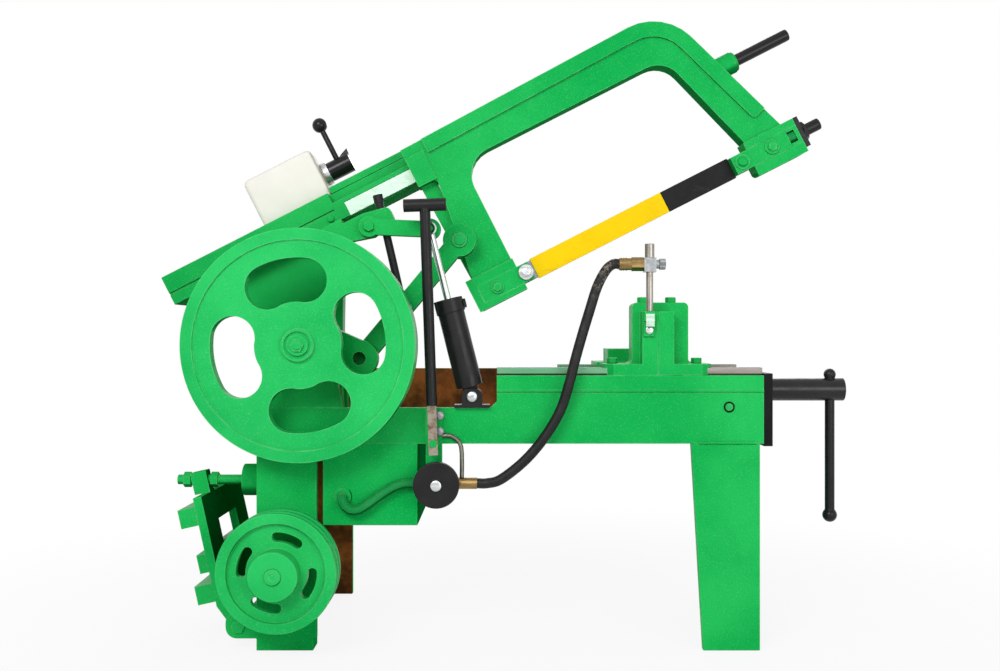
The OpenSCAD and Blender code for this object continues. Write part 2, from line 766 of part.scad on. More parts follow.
module tension_plate() {
    color("#1c1d1f") arm_frame() difference() {
        slab(clamp_y0, bow_y1) rect(front_foot_a1, front_foot_a1 + end_plate_t, front_foot_n0 + foot_round,
                                    front_foot_n1);
        translate([0, clamp_y, -blade_n]) rod_x(tension_r + fit, front_foot_a1 - over,
                                                front_foot_a1 + end_plate_t + over);
    }
}
module tension_screw() {
    color("#1c1d1f") arm_frame() translate([0, clamp_y, -blade_n])
        rod_x(tension_r, front_clamp_a1 + gap, front_foot_a1 + end_plate_t + tension_l);
}
module bow_handle() {
    color("#18191b") arm_frame() translate([0, bow_y, handle_n])
        rod_x(handle_d / 2, handle_a, handle_a + handle_l);
}

// Control box and its rotary lever
box_a0 = 7;
box_l = 128;
box_h = 90;
box_y0 = 0;
box_d = 115;
box_round = 10;
box_n = beam_n + beam_body_h;
switch_up = 48;
switch_n = box_n + switch_up;
switch_y = 57;
boss_r = 20;
boss_l = 10;
switch_hub_r = 17;
switch_hub_l = 42;
switch_rod_r = 5;
switch_rod_l = 82;
switch_ball_r = 13;
module switch_box() {
    color("#e9e6dc") arm_frame() slab(box_y0, box_y0 + box_d) polygon(rounded(
        [[box_a0, box_n], [box_a0 + box_l, box_n], [box_a0 + box_l, box_n + box_h], [box_a0, box_n + box_h]],
        [0, 0, box_round, box_round]));
}
module switch_boss() {
    color("#b4b7ba") arm_frame() translate([0, switch_y, switch_n])
        rod_x(boss_r, box_a0 + box_l, box_a0 + box_l + boss_l);
}
module switch_lever() {
    a0 = box_a0 + box_l + boss_l + gap;
    color("#17181a") arm_frame() translate([0, switch_y, switch_n]) {
        rod_x(switch_hub_r, a0, a0 + switch_hub_l);
        translate([a0 + switch_hub_l / 2, 0, 0]) {
            rod_z(switch_rod_r, 0, switch_rod_l);
            translate([0, 0, switch_rod_l]) sphere(switch_ball_r);
        }
    }
}

// Lift: a bracket on the arm, a lift arm, a cylinder on the bed and its rod
bracket_a0 = 96;
bracket_a1 = 138;
bracket_n0 = 128;
bracket_n1 = 156;
bracket_tip_a = 216;
bracket_tip_n0 = 106;
bracket_tip_n1 = 148;
bracket_tip_t = 22;
bracket_end_h = 11;
bracket_round = 8;
lift_bolt_a = 174;
lift_bolt_n = 123;
lift_pin_a = 259;
lift_pin_n = 75;
lift_pin_r = 5;
lift_end_r = 17;
lift_arm_w = 26;
trip_a = 199;
trip_n = 128;
trip_y = -106.5;
trip_r = 6.5;
trip_lean = 14;
trip_up = 24;
trip_down = 200;
trip_knob_r = 8;
trip_knob_h = 14;
module trip_frame() {
    translate([trip_a, trip_y, trip_n]) rotate([0, trip_lean, 0]) children();
}
module lift_bracket() {
    color("#0fb556") arm_frame() difference() {
        union() {
            slab(lift_arm_y1, arm_y0) rect(bracket_a0, bracket_a1, bracket_n0, bracket_n1);
            slab(lift_arm_y1, lift_arm_y1 + bracket_tip_t) polygon(rounded([
                [bracket_a0, bracket_n0], [lift_bolt_a, bracket_tip_n0],
                [bracket_tip_a, trip_n - bracket_end_h], [bracket_tip_a, trip_n + bracket_end_h],
                [lift_bolt_a, bracket_tip_n1], [bracket_a0, bracket_tip_n1]],
                [0, bracket_round, bracket_round, bracket_round, bracket_round, 0]));
        }
        trip_frame() rod_z(trip_r, -trip_down, trip_down);
    }
}
module trip_rod() {
    color("#17181a") arm_frame() trip_frame() {
        rod_z(trip_r, -trip_down, trip_up);
        rod_z(trip_knob_r, trip_up, trip_up + trip_knob_h);
    }
}
module lift_arm() {
    run = [lift_pin_a - lift_bolt_a, lift_pin_n - lift_bolt_n];
    color("#0fae52") arm_frame() {
        slab(lift_arm_y0, lift_arm_y1) {
            translate([lift_bolt_a, lift_bolt_n]) {
                circle(lift_end_r);
                rotate(atan2(run[1], run[0])) rect(0, norm(run), -lift_arm_w / 2, lift_arm_w / 2);
            }
            translate([lift_pin_a, lift_pin_n]) circle(lift_end_r);
        }
        translate([lift_bolt_a, 0, lift_bolt_n]) hex_y(bolt_r + over, lift_arm_y0 - bolt_h, lift_arm_y0);
        translate([lift_pin_a, 0, lift_pin_n]) rod_y(lift_pin_r, lift_y - eye_t / 2 - eye_gap, lift_arm_y0);
    }
}
cylinder_x = -50;
tongue_r = 12;
tongue_t = 11;
lug_t = 9;
clevis_w = 32;
clevis_round = 10;
base_t = 5;
base_w = 56;
cylinder_z = cutout_z + base_t + tongue_r + over;
cylinder_pin_r = 6;
cylinder_foot = 16;
cap_l = 22;
cap_lip = 2;
cap_r = cylinder_r + cap_lip;
lift_pin_x = shaft_x + lift_pin_a * cos(arm_a) - lift_pin_n * sin(arm_a);
lift_pin_z = shaft_z + lift_pin_a * sin(arm_a) + lift_pin_n * cos(arm_a);
lift_l = norm([lift_pin_x - cylinder_x, lift_pin_z - cylinder_z]);
lift_lean = atan2(cylinder_x - lift_pin_x, lift_pin_z - cylinder_z);
eye_r = 11;
eye_play = 3.5;
piston_l = 160;
module cylinder_frame() {
    translate([cylinder_x, lift_y, cylinder_z]) rotate([0, -lift_lean, 0]) children();
}
module cylinder_bracket() {
    lug_gap = tongue_t / 2 + gap;
    color("#1a1b1d") translate([cylinder_x, lift_y, 0]) {
        box([-base_w / 2, -lug_gap - lug_t, cutout_z], [base_w / 2, lug_gap + lug_t, cutout_z + base_t]);
        for (y = [-lug_gap - lug_t, lug_gap]) slab(y, y + lug_t) polygon(rounded([
            [-clevis_w / 2, cutout_z], [clevis_w / 2, cutout_z], [clevis_w / 2, cylinder_z + tongue_r],
            [-clevis_w / 2, cylinder_z + tongue_r]], [0, 0, clevis_round, clevis_round]));
        translate([0, 0, cylinder_z]) rod_y(cylinder_pin_r, -lug_gap - lug_t - over, lug_gap + lug_t + over);
    }
}
module lift_cylinder() {
    color("#17181a") cylinder_frame() difference() {
        union() {
            slab(-tongue_t / 2, tongue_t / 2) {
                circle(tongue_r);
                rect(-tongue_r, tongue_r, 0, cylinder_foot);
            }
            rod_z(cylinder_r, cylinder_foot, cylinder_l);
            rod_z(cap_r, cylinder_l - cap_l, cylinder_l);
        }
        rod_y(cylinder_pin_r + fit, -tongue_t, tongue_t);
        rod_z(piston_r + fit, cylinder_foot + over, cylinder_l + over);
    }
}
module piston_rod() {
    color("#d8dadc") cylinder_frame() translate([0, 0, lift_l]) {
        slab(-eye_t / 2, eye_t / 2) difference() {
            circle(eye_r);
            circle(lift_pin_r + eye_play);
        }
        rod_z(piston_r, -piston_l, -(lift_pin_r + eye_play) - over);
    }
}

// Control lever with a T-shaped handle, on the pump's bracket
lever_x = -110;
lever_z = 330;
lever_y = -168;
lever_lean = 2;
lever_pin_r = 6;
lever_bar_w = 14;
lever_bar_t = 8;
lever_bar_down = 18;
lever_bar_up = 60;
lever_l = 371;
lever_grip_r = 10;
lever_grip_l = 66;
module control_lever() {
    color("#17181a") translate([lever_x, lever_y, lever_z]) rotate([0, -lever_lean, 0]) {
        rod_z(lever_r, lever_bar_up - over, lever_l);
        translate([0, 0, lever_l]) rod_x(lever_grip_r, -lever_grip_l / 2, lever_grip_l / 2);
        difference() {
            box([-lever_bar_w / 2, -lever_bar_t / 2, -lever_bar_down],
                [lever_bar_w / 2, lever_bar_t / 2, lever_bar_up]);
            rod_y(lever_pin_r + fit, -lever_bar_t, lever_bar_t);
        }
    }
}
// Coolant pump, its bracket and its pipes
pump_x = -105;
pump_z = 266;
pump_body_r = 28;
pump_wheel_t = 13;
pump_front = 38;
pump_back = 15;
pump_y0 = bed_y0 - pump_front;
pump_y1 = bed_y0 + pump_back;
pump_shaft_r = 6;
pump_bolt_r = 9;
pump_bolt_h = 4;
pump_bracket_w = 26;
pump_bracket_t = 6;
pump_bracket_z1 = 381;
pump_pipe_y = -150;
port_r = 6;
outlet_r = 9;
outlet_x = -42;
inlet_x = -141;
module pump_bracket() {
    color("#0fb556") difference() {
        union() {
            box([lever_x - pump_bracket_w / 2, bed_y0 - pump_bracket_t, pump_z],
                [lever_x + pump_bracket_w / 2, bed_y0, pump_bracket_z1]);
            translate([lever_x, 0, lever_z]) {
                rod_y(lever_pin_r, lever_y - lever_bar_t / 2 - over, bed_y0);
                rod_y(lever_pin_r + washer_t, lever_y + lever_bar_t / 2 + gap, bed_y0);
            }
        }
        translate([pump_x, 0, pump_z]) rod_y(pump_body_r, pump_y0 - over, pump_y1 + over);
    }
}
module pump_body() {
    color("#4a3d33") translate([pump_x, 0, pump_z]) difference() {
        rod_y(pump_body_r, pump_y0 + pump_wheel_t + gap, pump_y1);
        rod_y(pump_shaft_r + fit, pump_y0, pump_y1 + over);
    }
}
module pump_wheel() {
    color("#161718") translate([pump_x, 0, pump_z]) {
        rod_y(pump_r, pump_y0, pump_y0 + pump_wheel_t);
        rod_y(pump_shaft_r, pump_y0, pump_y1);
        hex_y(pump_bolt_r, pump_y0 - pump_bolt_h, pump_y0);
    }
}
module pump_fittings() {
    color("#b58a3c") difference() {
        translate([0, pump_pipe_y, pump_z]) {
            rod_x(outlet_r, pump_x, outlet_x);
            rod_x(port_r, inlet_x, pump_x);
        }
        translate([pump_x, 0, pump_z]) rod_y(pump_body_r, pump_y0 - over, pump_y1 + over);
    }
}
// A tube swept along a smooth line through points chosen by hand
function spline(p, i, t) =
    let (n = len(p) - 1,
         a = p[max(i - 1, 0)],
         b = p[i],
         c = p[min(i + 1, n)],
         d = p[min(i + 2, n)])
    b + 0.5 * t * ((c - a) + t * ((2 * a - 5 * b + 4 * c - d) + t * (3 * (b - c) + d - a)));
function smooth(p, k) =
    [for (i = [0:len(p) - 2]) each [for (j = [0:k - 1]) spline(p, i, j / k)], p[len(p) - 1]];
function tangent(p, i) = unit(p[min(i + 1, len(p) - 1)] - p[max(i - 1, 0)]);
module tube(p, r, sides) {
    n = len(p);
    rings = [for (i = [0:n - 1])
        let (t = tangent(p, i),
             u = unit(cross(t, abs(t[1]) > 0.9 ? [1, 0, 0] : [0, 1, 0])),
             v = cross(t, u))
        each [for (j = [0:sides - 1]) p[i] + r * (cos(360 * j / sides) * u + sin(360 * j / sides) * v)]];
    polyhedron(rings, concat(
        [[for (j = [0:sides - 1]) j]],
        [[for (j = [sides - 1:-1:0]) (n - 1) * sides + j]],
        [for (i = [0:n - 2]) for (j = [0:sides - 1])
            [i * sides + j, (i + 1) * sides + j, (i + 1) * sides + (j + 1) % sides]],
        [for (i = [0:n - 2]) for (j = [0:sides - 1])
            [i * sides + j, (i + 1) * sides + (j + 1) % sides, i * sides + (j + 1) % sides]]));
}
hose_route = [
    [-42, -150, 266], [-26, -150, 266], [-4, -154, 273], [33, -160, 303], [64, -162, 340], [88, -163, 381],
    [101, -163, 420], [111, -162, 459], [122, -161, 498], [134, -159, 537], [146, -156, 574], [160, -153, 600],
    [172, -150, 610], [181, -150, 610]];
suction_route = [
    [-254, -145, 244], [-254, -151, 244], [-252, -156, 236], [-242, -157, 226], [-226, -156, 226],
    [-202, -154, 242], [-176, -151, 259], [-156, -150, 266], [-141, -150, 266]];
bypass_route = [[-97, -144, 340], [-84, -144, 340], [-70, -145, 330], [-66, -148, 312], [-66, -150, 275]];
hose_sides = 12;
hose_steps = 2;
pipe_r = 8;
bypass_r = 3.5;
module coolant_hose() {
    color("#1a1a1c") tube(smooth(hose_route, hose_steps), hose_r, hose_sides);
}
module suction_pipe() {
    color("#0f9a49") tube(smooth(suction_route, hose_steps), pipe_r, hose_sides);
}
module bypass_pipe() {
    color("#9b9c98") tube(smooth(bypass_route, hose_steps), bypass_r, hose_sides);
}
tank_x0 = -286;
tank_l = 150;
tank_d = 294;
tank_z0 = bed_base_z - tank_h;
tank_port_r = 14;
tank_port_t = 5;
module coolant_tank() {
    color("#0fb556") difference() {
        union() {
            box([tank_x0, bed_y0, tank_z0], [tank_x0 + tank_l, bed_y0 + tank_d, bed_base_z]);
            translate([suction_route[0][0], 0, suction_route[0][2]])
                rod_y(tank_port_r, bed_y0 - tank_port_t, bed_y0 + over);
        }
        box([tank_x0 + tank_wall, bed_y0 + tank_wall, tank_z0 + tank_wall],
            [tank_x0 + tank_l - tank_wall, bed_y0 + tank_d - tank_wall, bed_base_z + over]);
    }
}

// Vise: a fixed jaw and a movable one, split for the blade
jaw_y0 = bed_y0;
jaw_y1 = 100;
jaw_rib_y1 = -112;
jaw_channel_front = 10;
jaw_channel_gap = 6;
jaw_wall_y1 = bow_y0 - jaw_channel_front;
jaw_channel_y1 = bow_y1 + jaw_channel_gap;
jaw_channel_z = bed_z + jaw_channel_gap;
jaw_rib_drop = 15;
jaw_back_y0 = 20;
jaw_back_h = 40;
jaw_rib_w = 25;
fixed_wall_w = 38;
moving_wall_w = 52;
jaw_back_w = 64;
jaw_bevel = 16;
jaw_nut_l = 50;
jaw_nut_x = 6;
jaw_nut_z0 = 392;
jaw_nut_up = 6;
jaw_bolt_r = 9;
jaw_bolt_h = 9;
jaw_bolt_y = -94;
foot_bolt_in = 36;
way_play = 0.3;
// A jaw with its face at the origin and its foot along X
module jaw_casting(wall_w, z0, play) {
    difference() {
        union() {
            translate([0, 0, z0]) linear_extrude(bed_z + jaw_foot_h - z0) polygon([
                [0, jaw_y0], [jaw_foot_l - jaw_bevel, jaw_y0], [jaw_foot_l, jaw_y0 + jaw_bevel],
                [jaw_foot_l, jaw_y1], [0, jaw_y1]]);
            box([0, jaw_y0, z0], [jaw_rib_w, jaw_rib_y1 + over, bed_z + jaw_h - jaw_rib_drop]);
            slab(jaw_rib_y1, jaw_wall_y1) polygon(rounded(
                [[0, z0], [wall_w + jaw_bevel, z0], [wall_w + jaw_bevel, bed_z + jaw_foot_h],
                 [wall_w, bed_z + jaw_foot_h], [wall_w, bed_z + jaw_h], [0, bed_z + jaw_h]],
                [0, 0, 0, jaw_bevel / 2, jaw_bevel / 2, 0]));
            box([0, jaw_back_y0, z0], [jaw_back_w, jaw_y1, bed_z + jaw_back_h]);
        }
        box([-over, jaw_wall_y1, jaw_channel_z], [jaw_foot_l + over, jaw_channel_y1, bed_z + jaw_h]);
        for (y = [bed_y0 + way_inset, way_rear_y])
            box([-over, y - play, z0 - over], [jaw_foot_l + over, y + way_w + play, bed_z + way_h + play]);
    }
}
module jaw_bolts(wall_w) {
    translate([wall_w / 2, jaw_bolt_y, 0]) hex_z(jaw_bolt_r, bed_z + jaw_h, bed_z + jaw_h + jaw_bolt_h);
    translate([jaw_foot_l - foot_bolt_in / 2, jaw_bolt_y, 0])
        hex_z(jaw_bolt_r, bed_z + jaw_foot_h, bed_z + jaw_foot_h + jaw_bolt_h);
}
module fixed_jaw() {
    color("#0fb556") translate([jaw_x, 0, 0]) mirror([1, 0, 0]) jaw_casting(fixed_wall_w, bed_z, 0);
}
module fixed_jaw_bolts() {
    color("#0c8f44") translate([jaw_x, 0, 0]) mirror([1, 0, 0]) jaw_bolts(fixed_wall_w);
}
module movable_jaw() {
    color("#0fb556") translate([jaw_x + gap, 0, 0]) difference() {
        union() {
            jaw_casting(moving_wall_w, bed_z + gap, way_play);
            box([jaw_nut_x, screw_y - nut_w / 2, jaw_nut_z0],
                [jaw_nut_x + jaw_nut_l, screw_y + nut_w / 2, bed_z + jaw_nut_up]);
        }
        translate([0, screw_y, screw_z]) rod_x(thread_r + fit, 0, jaw_foot_l);
    }
}
module movable_jaw_bolts() {
    color("#0c8f44") translate([jaw_x + gap, 0, 0]) jaw_bolts(moving_wall_w);
}
end_plate_w = 14;
end_plate_z0 = 323;
end_plate_up = 3;
end_plate_y1 = 100;
cover_t = 4.5;
cover_in = 20;
cover_z0 = 345;
module plate_with_bore(p, q) {
    difference() {
        box(p, q);
        translate([0, screw_y, screw_z]) rod_x(thread_r + fit, p[0] - over, q[0] + over);
    }
}
module vise_end_plates() {
    color("#1a1b1d") {
        plate_with_bore([bed_x1, bed_y0, end_plate_z0],
                        [bed_x1 + end_plate_w, end_plate_y1, bed_z + end_plate_up]);
        plate_with_bore([bed_x1 + end_plate_w, bed_y0 + cover_in, cover_z0],
                        [bed_x1 + end_plate_w + cover_t, end_plate_y1 - cover_in, bed_z]);
    }
}
screw_tip_in = 4;
screw_tip_x = jaw_x + screw_tip_in;
sleeve_x0 = bed_x1 + end_plate_w + cover_t + gap;
screw_sleeve_l = 143.2;
sleeve_x1 = sleeve_x0 + screw_sleeve_l;
tommy_end = 22;
tommy_x = sleeve_x1 - tommy_end;
tommy_ball_r = 12;
tommy_top_r = 10;
tommy_top = screw_r + sqrt(pow(tommy_top_r, 2) - pow(tommy_r + fit, 2)) + gap;
module vise_screw() {
    color("#1d1e20") translate([0, screw_y, screw_z]) difference() {
        union() {
            rod_x(thread_r, screw_tip_x, sleeve_x0 + over);
            rod_x(screw_r, sleeve_x0, sleeve_x1);
        }
        translate([tommy_x, 0, 0]) rod_z(tommy_r + fit, -screw_r - over, screw_r + over);
    }
}
module tommy_bar() {
    color("#161718") translate([tommy_x, screw_y, screw_z + tommy_top]) {
        rod_z(tommy_r, tommy_ball_r - tommy_l, 0);
        sphere(tommy_top_r);
        translate([0, 0, tommy_ball_r - tommy_l]) sphere(tommy_ball_r);
    }
}

// Coolant post on the fixed jaw
post_x = 229;
post_y = -150;
post_r = 5.5;
post_z1 = 642;
clip_w = 17;
clip_t = 5;
clip_h = 40;
clip_seat_h = 16;
clip_d = 16;
clip_z1 = bed_z + jaw_h - jaw_rib_drop;
tee_w = 19;
tee_h = 25;
tee_z = 610;
hex_l = 19;
ferrule_l = 19.5;
ferrule_r = 9.5;
hex_r = 11;
stub_l = 15;
stub_r = 7;
post_cap_r = 7.5;
post_cap_h = 22;
module post_clip() {
    color("#0fae52") {
        box([post_x - clip_w / 2, bed_y0 - clip_t, clip_z1 - clip_h],
            [post_x + clip_w / 2, bed_y0, clip_z1]);
        box([post_x - clip_w / 2, bed_y0 - clip_d, clip_z1 - clip_seat_h],
            [post_x + clip_w / 2, bed_y0, clip_z1]);
    }
}
module coolant_post() {
    color("#c3c6c8") translate([post_x, post_y, 0]) {
        rod_z(post_r, clip_z1, post_z1);
        rod_z(post_cap_r, post_z1 - post_cap_h, post_z1);
    }
}
module coolant_tee() {
    color("#a9abad") translate([post_x, post_y, tee_z]) difference() {
        union() {
            box([-tee_w / 2, -tee_w / 2, -tee_h / 2], [tee_w / 2, tee_w / 2, post_z1 - post_cap_h - tee_z]);
            rod_x(stub_r, tee_w / 2, tee_w / 2 + stub_l);
        }
        rod_z(post_r, -tee_h, tee_h);
    }
}
module hose_fitting() {
    color("#a8873f") translate([post_x, post_y, tee_z]) {
        rotate([0, -90, 0]) hex_z(hex_r, tee_w / 2, tee_w / 2 + hex_l);
        rod_x(ferrule_r, -tee_w / 2 - hex_l - ferrule_l, -tee_w / 2 - hex_l);
    }
}

// Motor plate on its hinge, leaning left, with clamp bars and a belt-tension rod
motor_lean = 12.5;
motor_t = 14;
motor_in = 16;
motor_z0 = 36;
motor_z1 = 212;
ear_t = 16;
ear_r = 14;
motor_window_in = 70;
motor_window_z0 = 110;
motor_window_z1 = 165;
bar_n = 3;
bar_t = 28;
bar_thin_t = 14;
bar_h = 30;
bar_z = [44, 92, 168];
nut_dome_r = 8;
motor_bolt_y_share = [0.12, 0.88];
stub_y = -60;
stub_pipe_r = 26;
stub_bore_r = 15;
stub_pipe_l = 37;
tie_r = 8;
tie_block_w = 26;
tie_block_h = 28;
tie_neck = 8;
tie_nut_r = 13;
tie_nut_h = 12;
tie_cap_l = 10;
tie_in = 12;
module motor_frame() {
    translate([hinge_x, 0, hinge_z]) rotate([0, -motor_lean, 0]) children();
}
module motor_plate() {
    x0 = -motor_in - motor_t;
    color("#0f9f4b") motor_frame() difference() {
        union() {
            box([x0, motor_y0, motor_z0], [-motor_in, motor_y1, motor_z1]);
            for (y = [motor_y0, motor_y1 - ear_t]) slab(y, y + ear_t) {
                circle(ear_r);
                polygon([[x0, motor_z0 + ear_r], [x0, motor_z0], [-ear_r, 0], [ear_r, 0],
                         [-motor_in, motor_z0 + ear_r]]);
            }
            translate([0, stub_y, 0]) {
                box([x0 + over - tie_block_w / 2, -tie_block_w / 2, motor_z1],
                    [x0 + over + tie_block_w / 2, tie_block_w / 2, motor_z1 + tie_neck + tie_block_h]);
            }
        }
        rod_y(hinge_r + fit, motor_y0 - over, motor_y1 + over);
        box([x0 - over, motor_y0 + motor_window_in, motor_window_z0],
            [-motor_in + over, motor_y1 - motor_window_in, motor_window_z1]);
        tie_frame() rod_x(tie_r, -motor_t * bar_n, motor_t * bar_n);
    }
}
// The tie's frame: level at rest, through the block on the plate's top edge
module tie_frame() {
    translate([-tie_back, stub_y, tie_up])
        rotate([0, motor_lean, 0]) children();
}
module clamp_bars() {
    x0 = -motor_in - motor_t;
    color("#0d9445") motor_frame() for (i = [0:bar_n - 1]) {
        t = i == 1 ? bar_thin_t : bar_t;
        box([x0 - t, motor_y0, bar_z[i]], [x0, motor_y1, bar_z[i] + bar_h]);
        if (i != 1) for (share = motor_bolt_y_share)
            translate([x0 - t, motor_y0 + share * motor_plate_d, bar_z[i] + bar_h / 2]) sphere(nut_dome_r);
    }
}
module belt_tie() {
    reach = bed_x0 + tie_in - (hinge_x + tie_x);
    half = tie_block_w / 2 / cos(motor_lean) + tie_block_h / 2 * sin(motor_lean);
    color("#0fae52") motor_frame() tie_frame() {
        rod_x(tie_r, -half - tie_nut_h - tie_cap_l, reach);
        for (x = [-half - tie_nut_h, half]) rotate([0, 90, 0]) hex_z(tie_nut_r, x, x + tie_nut_h);
    }
}
tie_back = motor_in + motor_t - over;
tie_up = motor_z1 + tie_neck + tie_block_h / 2;
tie_x = -tie_back * cos(motor_lean) - tie_up * sin(motor_lean);
tie_z = -tie_back * sin(motor_lean) + tie_up * cos(motor_lean);

bed();
ways();
right_leg();
left_leg();
motor_hinge_pin();
countershaft();
drive_pulley();
main_bearing();
flywheel();
crankshaft();
connecting_rod();
crank_pin();
arm_pedestal();
arm_pivot_pin();
saw_arm();
guide_beam();
guide_strip();
bow_frame();
wrist_pin();
slide_keeper();
rear_blade_clamp();
blade_slide();
blade();
blade_sleeve();
blade_sleeve_end();
tension_plate();
tension_screw();
bow_handle();
switch_box();
switch_boss();
switch_lever();
lift_bracket();
trip_rod();
lift_arm();
cylinder_bracket();
lift_cylinder();
piston_rod();
control_lever();
pump_bracket();
pump_body();
pump_wheel();
pump_fittings();
coolant_hose();
suction_pipe();
bypass_pipe();
coolant_tank();
fixed_jaw();
fixed_jaw_bolts();
movable_jaw();
movable_jaw_bolts();
vise_end_plates();
motor_plate();
clamp_bars();
belt_tie();
vise_screw();
tommy_bar();
post_clip();
coolant_post();
coolant_tee();
hose_fitting();
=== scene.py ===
"""Looks of a green power hacksaw: paint, bare metal, fasteners, a weld bead, hose and stage."""

import math

import bmesh
import bpy
from mathutils import Matrix, Vector


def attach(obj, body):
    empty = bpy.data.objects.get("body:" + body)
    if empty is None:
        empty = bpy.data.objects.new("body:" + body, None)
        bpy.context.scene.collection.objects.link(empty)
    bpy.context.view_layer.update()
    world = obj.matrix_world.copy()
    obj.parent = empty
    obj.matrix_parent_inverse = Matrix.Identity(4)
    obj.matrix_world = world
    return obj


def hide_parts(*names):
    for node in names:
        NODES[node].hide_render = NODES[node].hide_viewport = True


bl_info = {
    "name": "Power hacksaw finish",
    "version": (1, 0, 0),
    "blender": (4, 5, 0),
    "location": "View3D > Sidebar > Hacksaw",
    "description": "Paints a power hacksaw and adds its fasteners, a weld bead, hose and stage",
    "category": "Object",
}

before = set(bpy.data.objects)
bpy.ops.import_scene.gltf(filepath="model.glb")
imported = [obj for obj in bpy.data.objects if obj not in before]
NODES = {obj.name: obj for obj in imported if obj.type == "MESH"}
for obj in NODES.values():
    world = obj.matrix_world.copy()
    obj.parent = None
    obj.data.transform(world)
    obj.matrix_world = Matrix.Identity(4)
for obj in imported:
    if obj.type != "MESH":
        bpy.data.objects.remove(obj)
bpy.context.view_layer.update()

# The main shaft's place in metres, and directions along the tilted arm and in the room
ARM_ANGLE = math.radians(27)
SHAFT = Vector((-0.314, 0, 0.483))
BEAM = Vector((math.cos(ARM_ANGLE), 0, math.sin(ARM_ANGLE)))
SQUARE = Vector((-math.sin(ARM_ANGLE), 0, math.cos(ARM_ANGLE)))
FRONT = Vector((0, -1, 0))
UP = Vector((0, 0, 1))
RIGHT = Vector((1, 0, 0))


def mm(*values):
    """A point given in millimetres, in metres."""
    return Vector(values) / 1000


def on_arm(a, y, n):
    """A point of the tilted arm: a along the beam, n square to it, in millimetres."""
    return SHAFT + BEAM * a / 1000 + SQUARE * n / 1000 + Vector((0, y / 1000, 0))


# Sizes and colours that a user would change


def colour(name, text, value):
    return bpy.props.FloatVectorProperty(
        name=name, description=text, default=value, subtype="COLOR", size=3, min=0, max=1
    )


def length(name, text, value):
    return bpy.props.FloatProperty(
        name=name, description=text, default=value, min=0, unit="LENGTH", subtype="DISTANCE"
    )


def strength(name, text, value, unit="NONE"):
    return bpy.props.FloatProperty(name=name, description=text, default=value, min=0, unit=unit)


class HacksawColours(bpy.types.PropertyGroup):
    """Colours of the paints and bare materials, in linear light"""

    machine_green: colour("Machine green", "Enamel on the bed, legs and castings", (0.003, 0.45, 0.082))
    # Wheel green is the machine green made paler as painted light, on the flywheel, the pulley and their
    # small parts
    wheel_green: colour("Wheel green", "Enamel on the flywheel and pulley", (0.012, 0.49, 0.105))
    # Shade green is the machine green darkened as painted shade, for the suction pipe, crank pin and tension
    # sleeve
    shade_green: colour("Shade green", "Dark enamel on the suction pipe and crank pin", (0.003, 0.27, 0.055))
    primer: colour("Primer", "Rust-red primer inside the bed and the left leg", (0.46, 0.125, 0.032))
    machine_black: colour("Machine black", "Black paint on levers, screw and cylinder", (0.009, 0.009, 0.01))
    bright_steel: colour("Bright steel", "Clean bolt heads and washers", (0.58, 0.6, 0.6))
    worn_steel: colour("Worn steel", "Pins, tee and dull bolts", (0.33, 0.34, 0.35))
    brass: colour("Brass", "Hose and pump fittings", (0.3, 0.195, 0.08))
    sleeve_yellow: colour("Sleeve yellow", "Blade guard sleeve", (0.93, 0.62, 0.0))
    box_cream: colour("Box cream", "Control box cover", (0.87, 0.83, 0.77))
    hose_black: colour("Hose black", "Rubber of the coolant hose", (0.006, 0.006, 0.0065))


class HacksawSizes(bpy.types.PropertyGroup):
    """Sizes of the small pieces"""

    cast_edge: length("Casting edge", "Rounding of cast edges", 0.003)
    plate_edge: length("Plate edge", "Rounding of plate edges", 0.0014)
    fine_edge: length("Fine edge", "Rounding of turned and ground edges", 0.0007)
    box_edge: length("Box edge", "Rounding of the control box's edges", 0.006)
    weld_width: length("Weld width", "Width of a weld bead", 0.0044)
    hose_diameter: length("Hose diameter", "Outer diameter of the coolant hose", 0.016)


class HacksawStage(bpy.types.PropertyGroup):
    """Camera and light"""

    camera_place: bpy.props.FloatVectorProperty(
        name="Camera place", description="Where the camera stands", default=(-0.006, -1.862, 0.498),
        subtype="TRANSLATION", unit="LENGTH", size=3,
    )
    camera_lens: bpy.props.FloatProperty(
        name="Lens", description="Focal length on a 36 mm sensor, in millimetres", default=39.24, min=10
    )
    key_power: strength("Key light", "Power of the key light", 41, "POWER")
    fill_power: strength("Fill light", "Power of the fill light and the back light", 19, "POWER")
    sky: strength("Sky", "Strength of the even light all round", 0.37)


def colours():
    return bpy.context.scene.hacksaw_colours


def sizes():
    return bpy.context.scene.hacksaw_sizes


# Materials


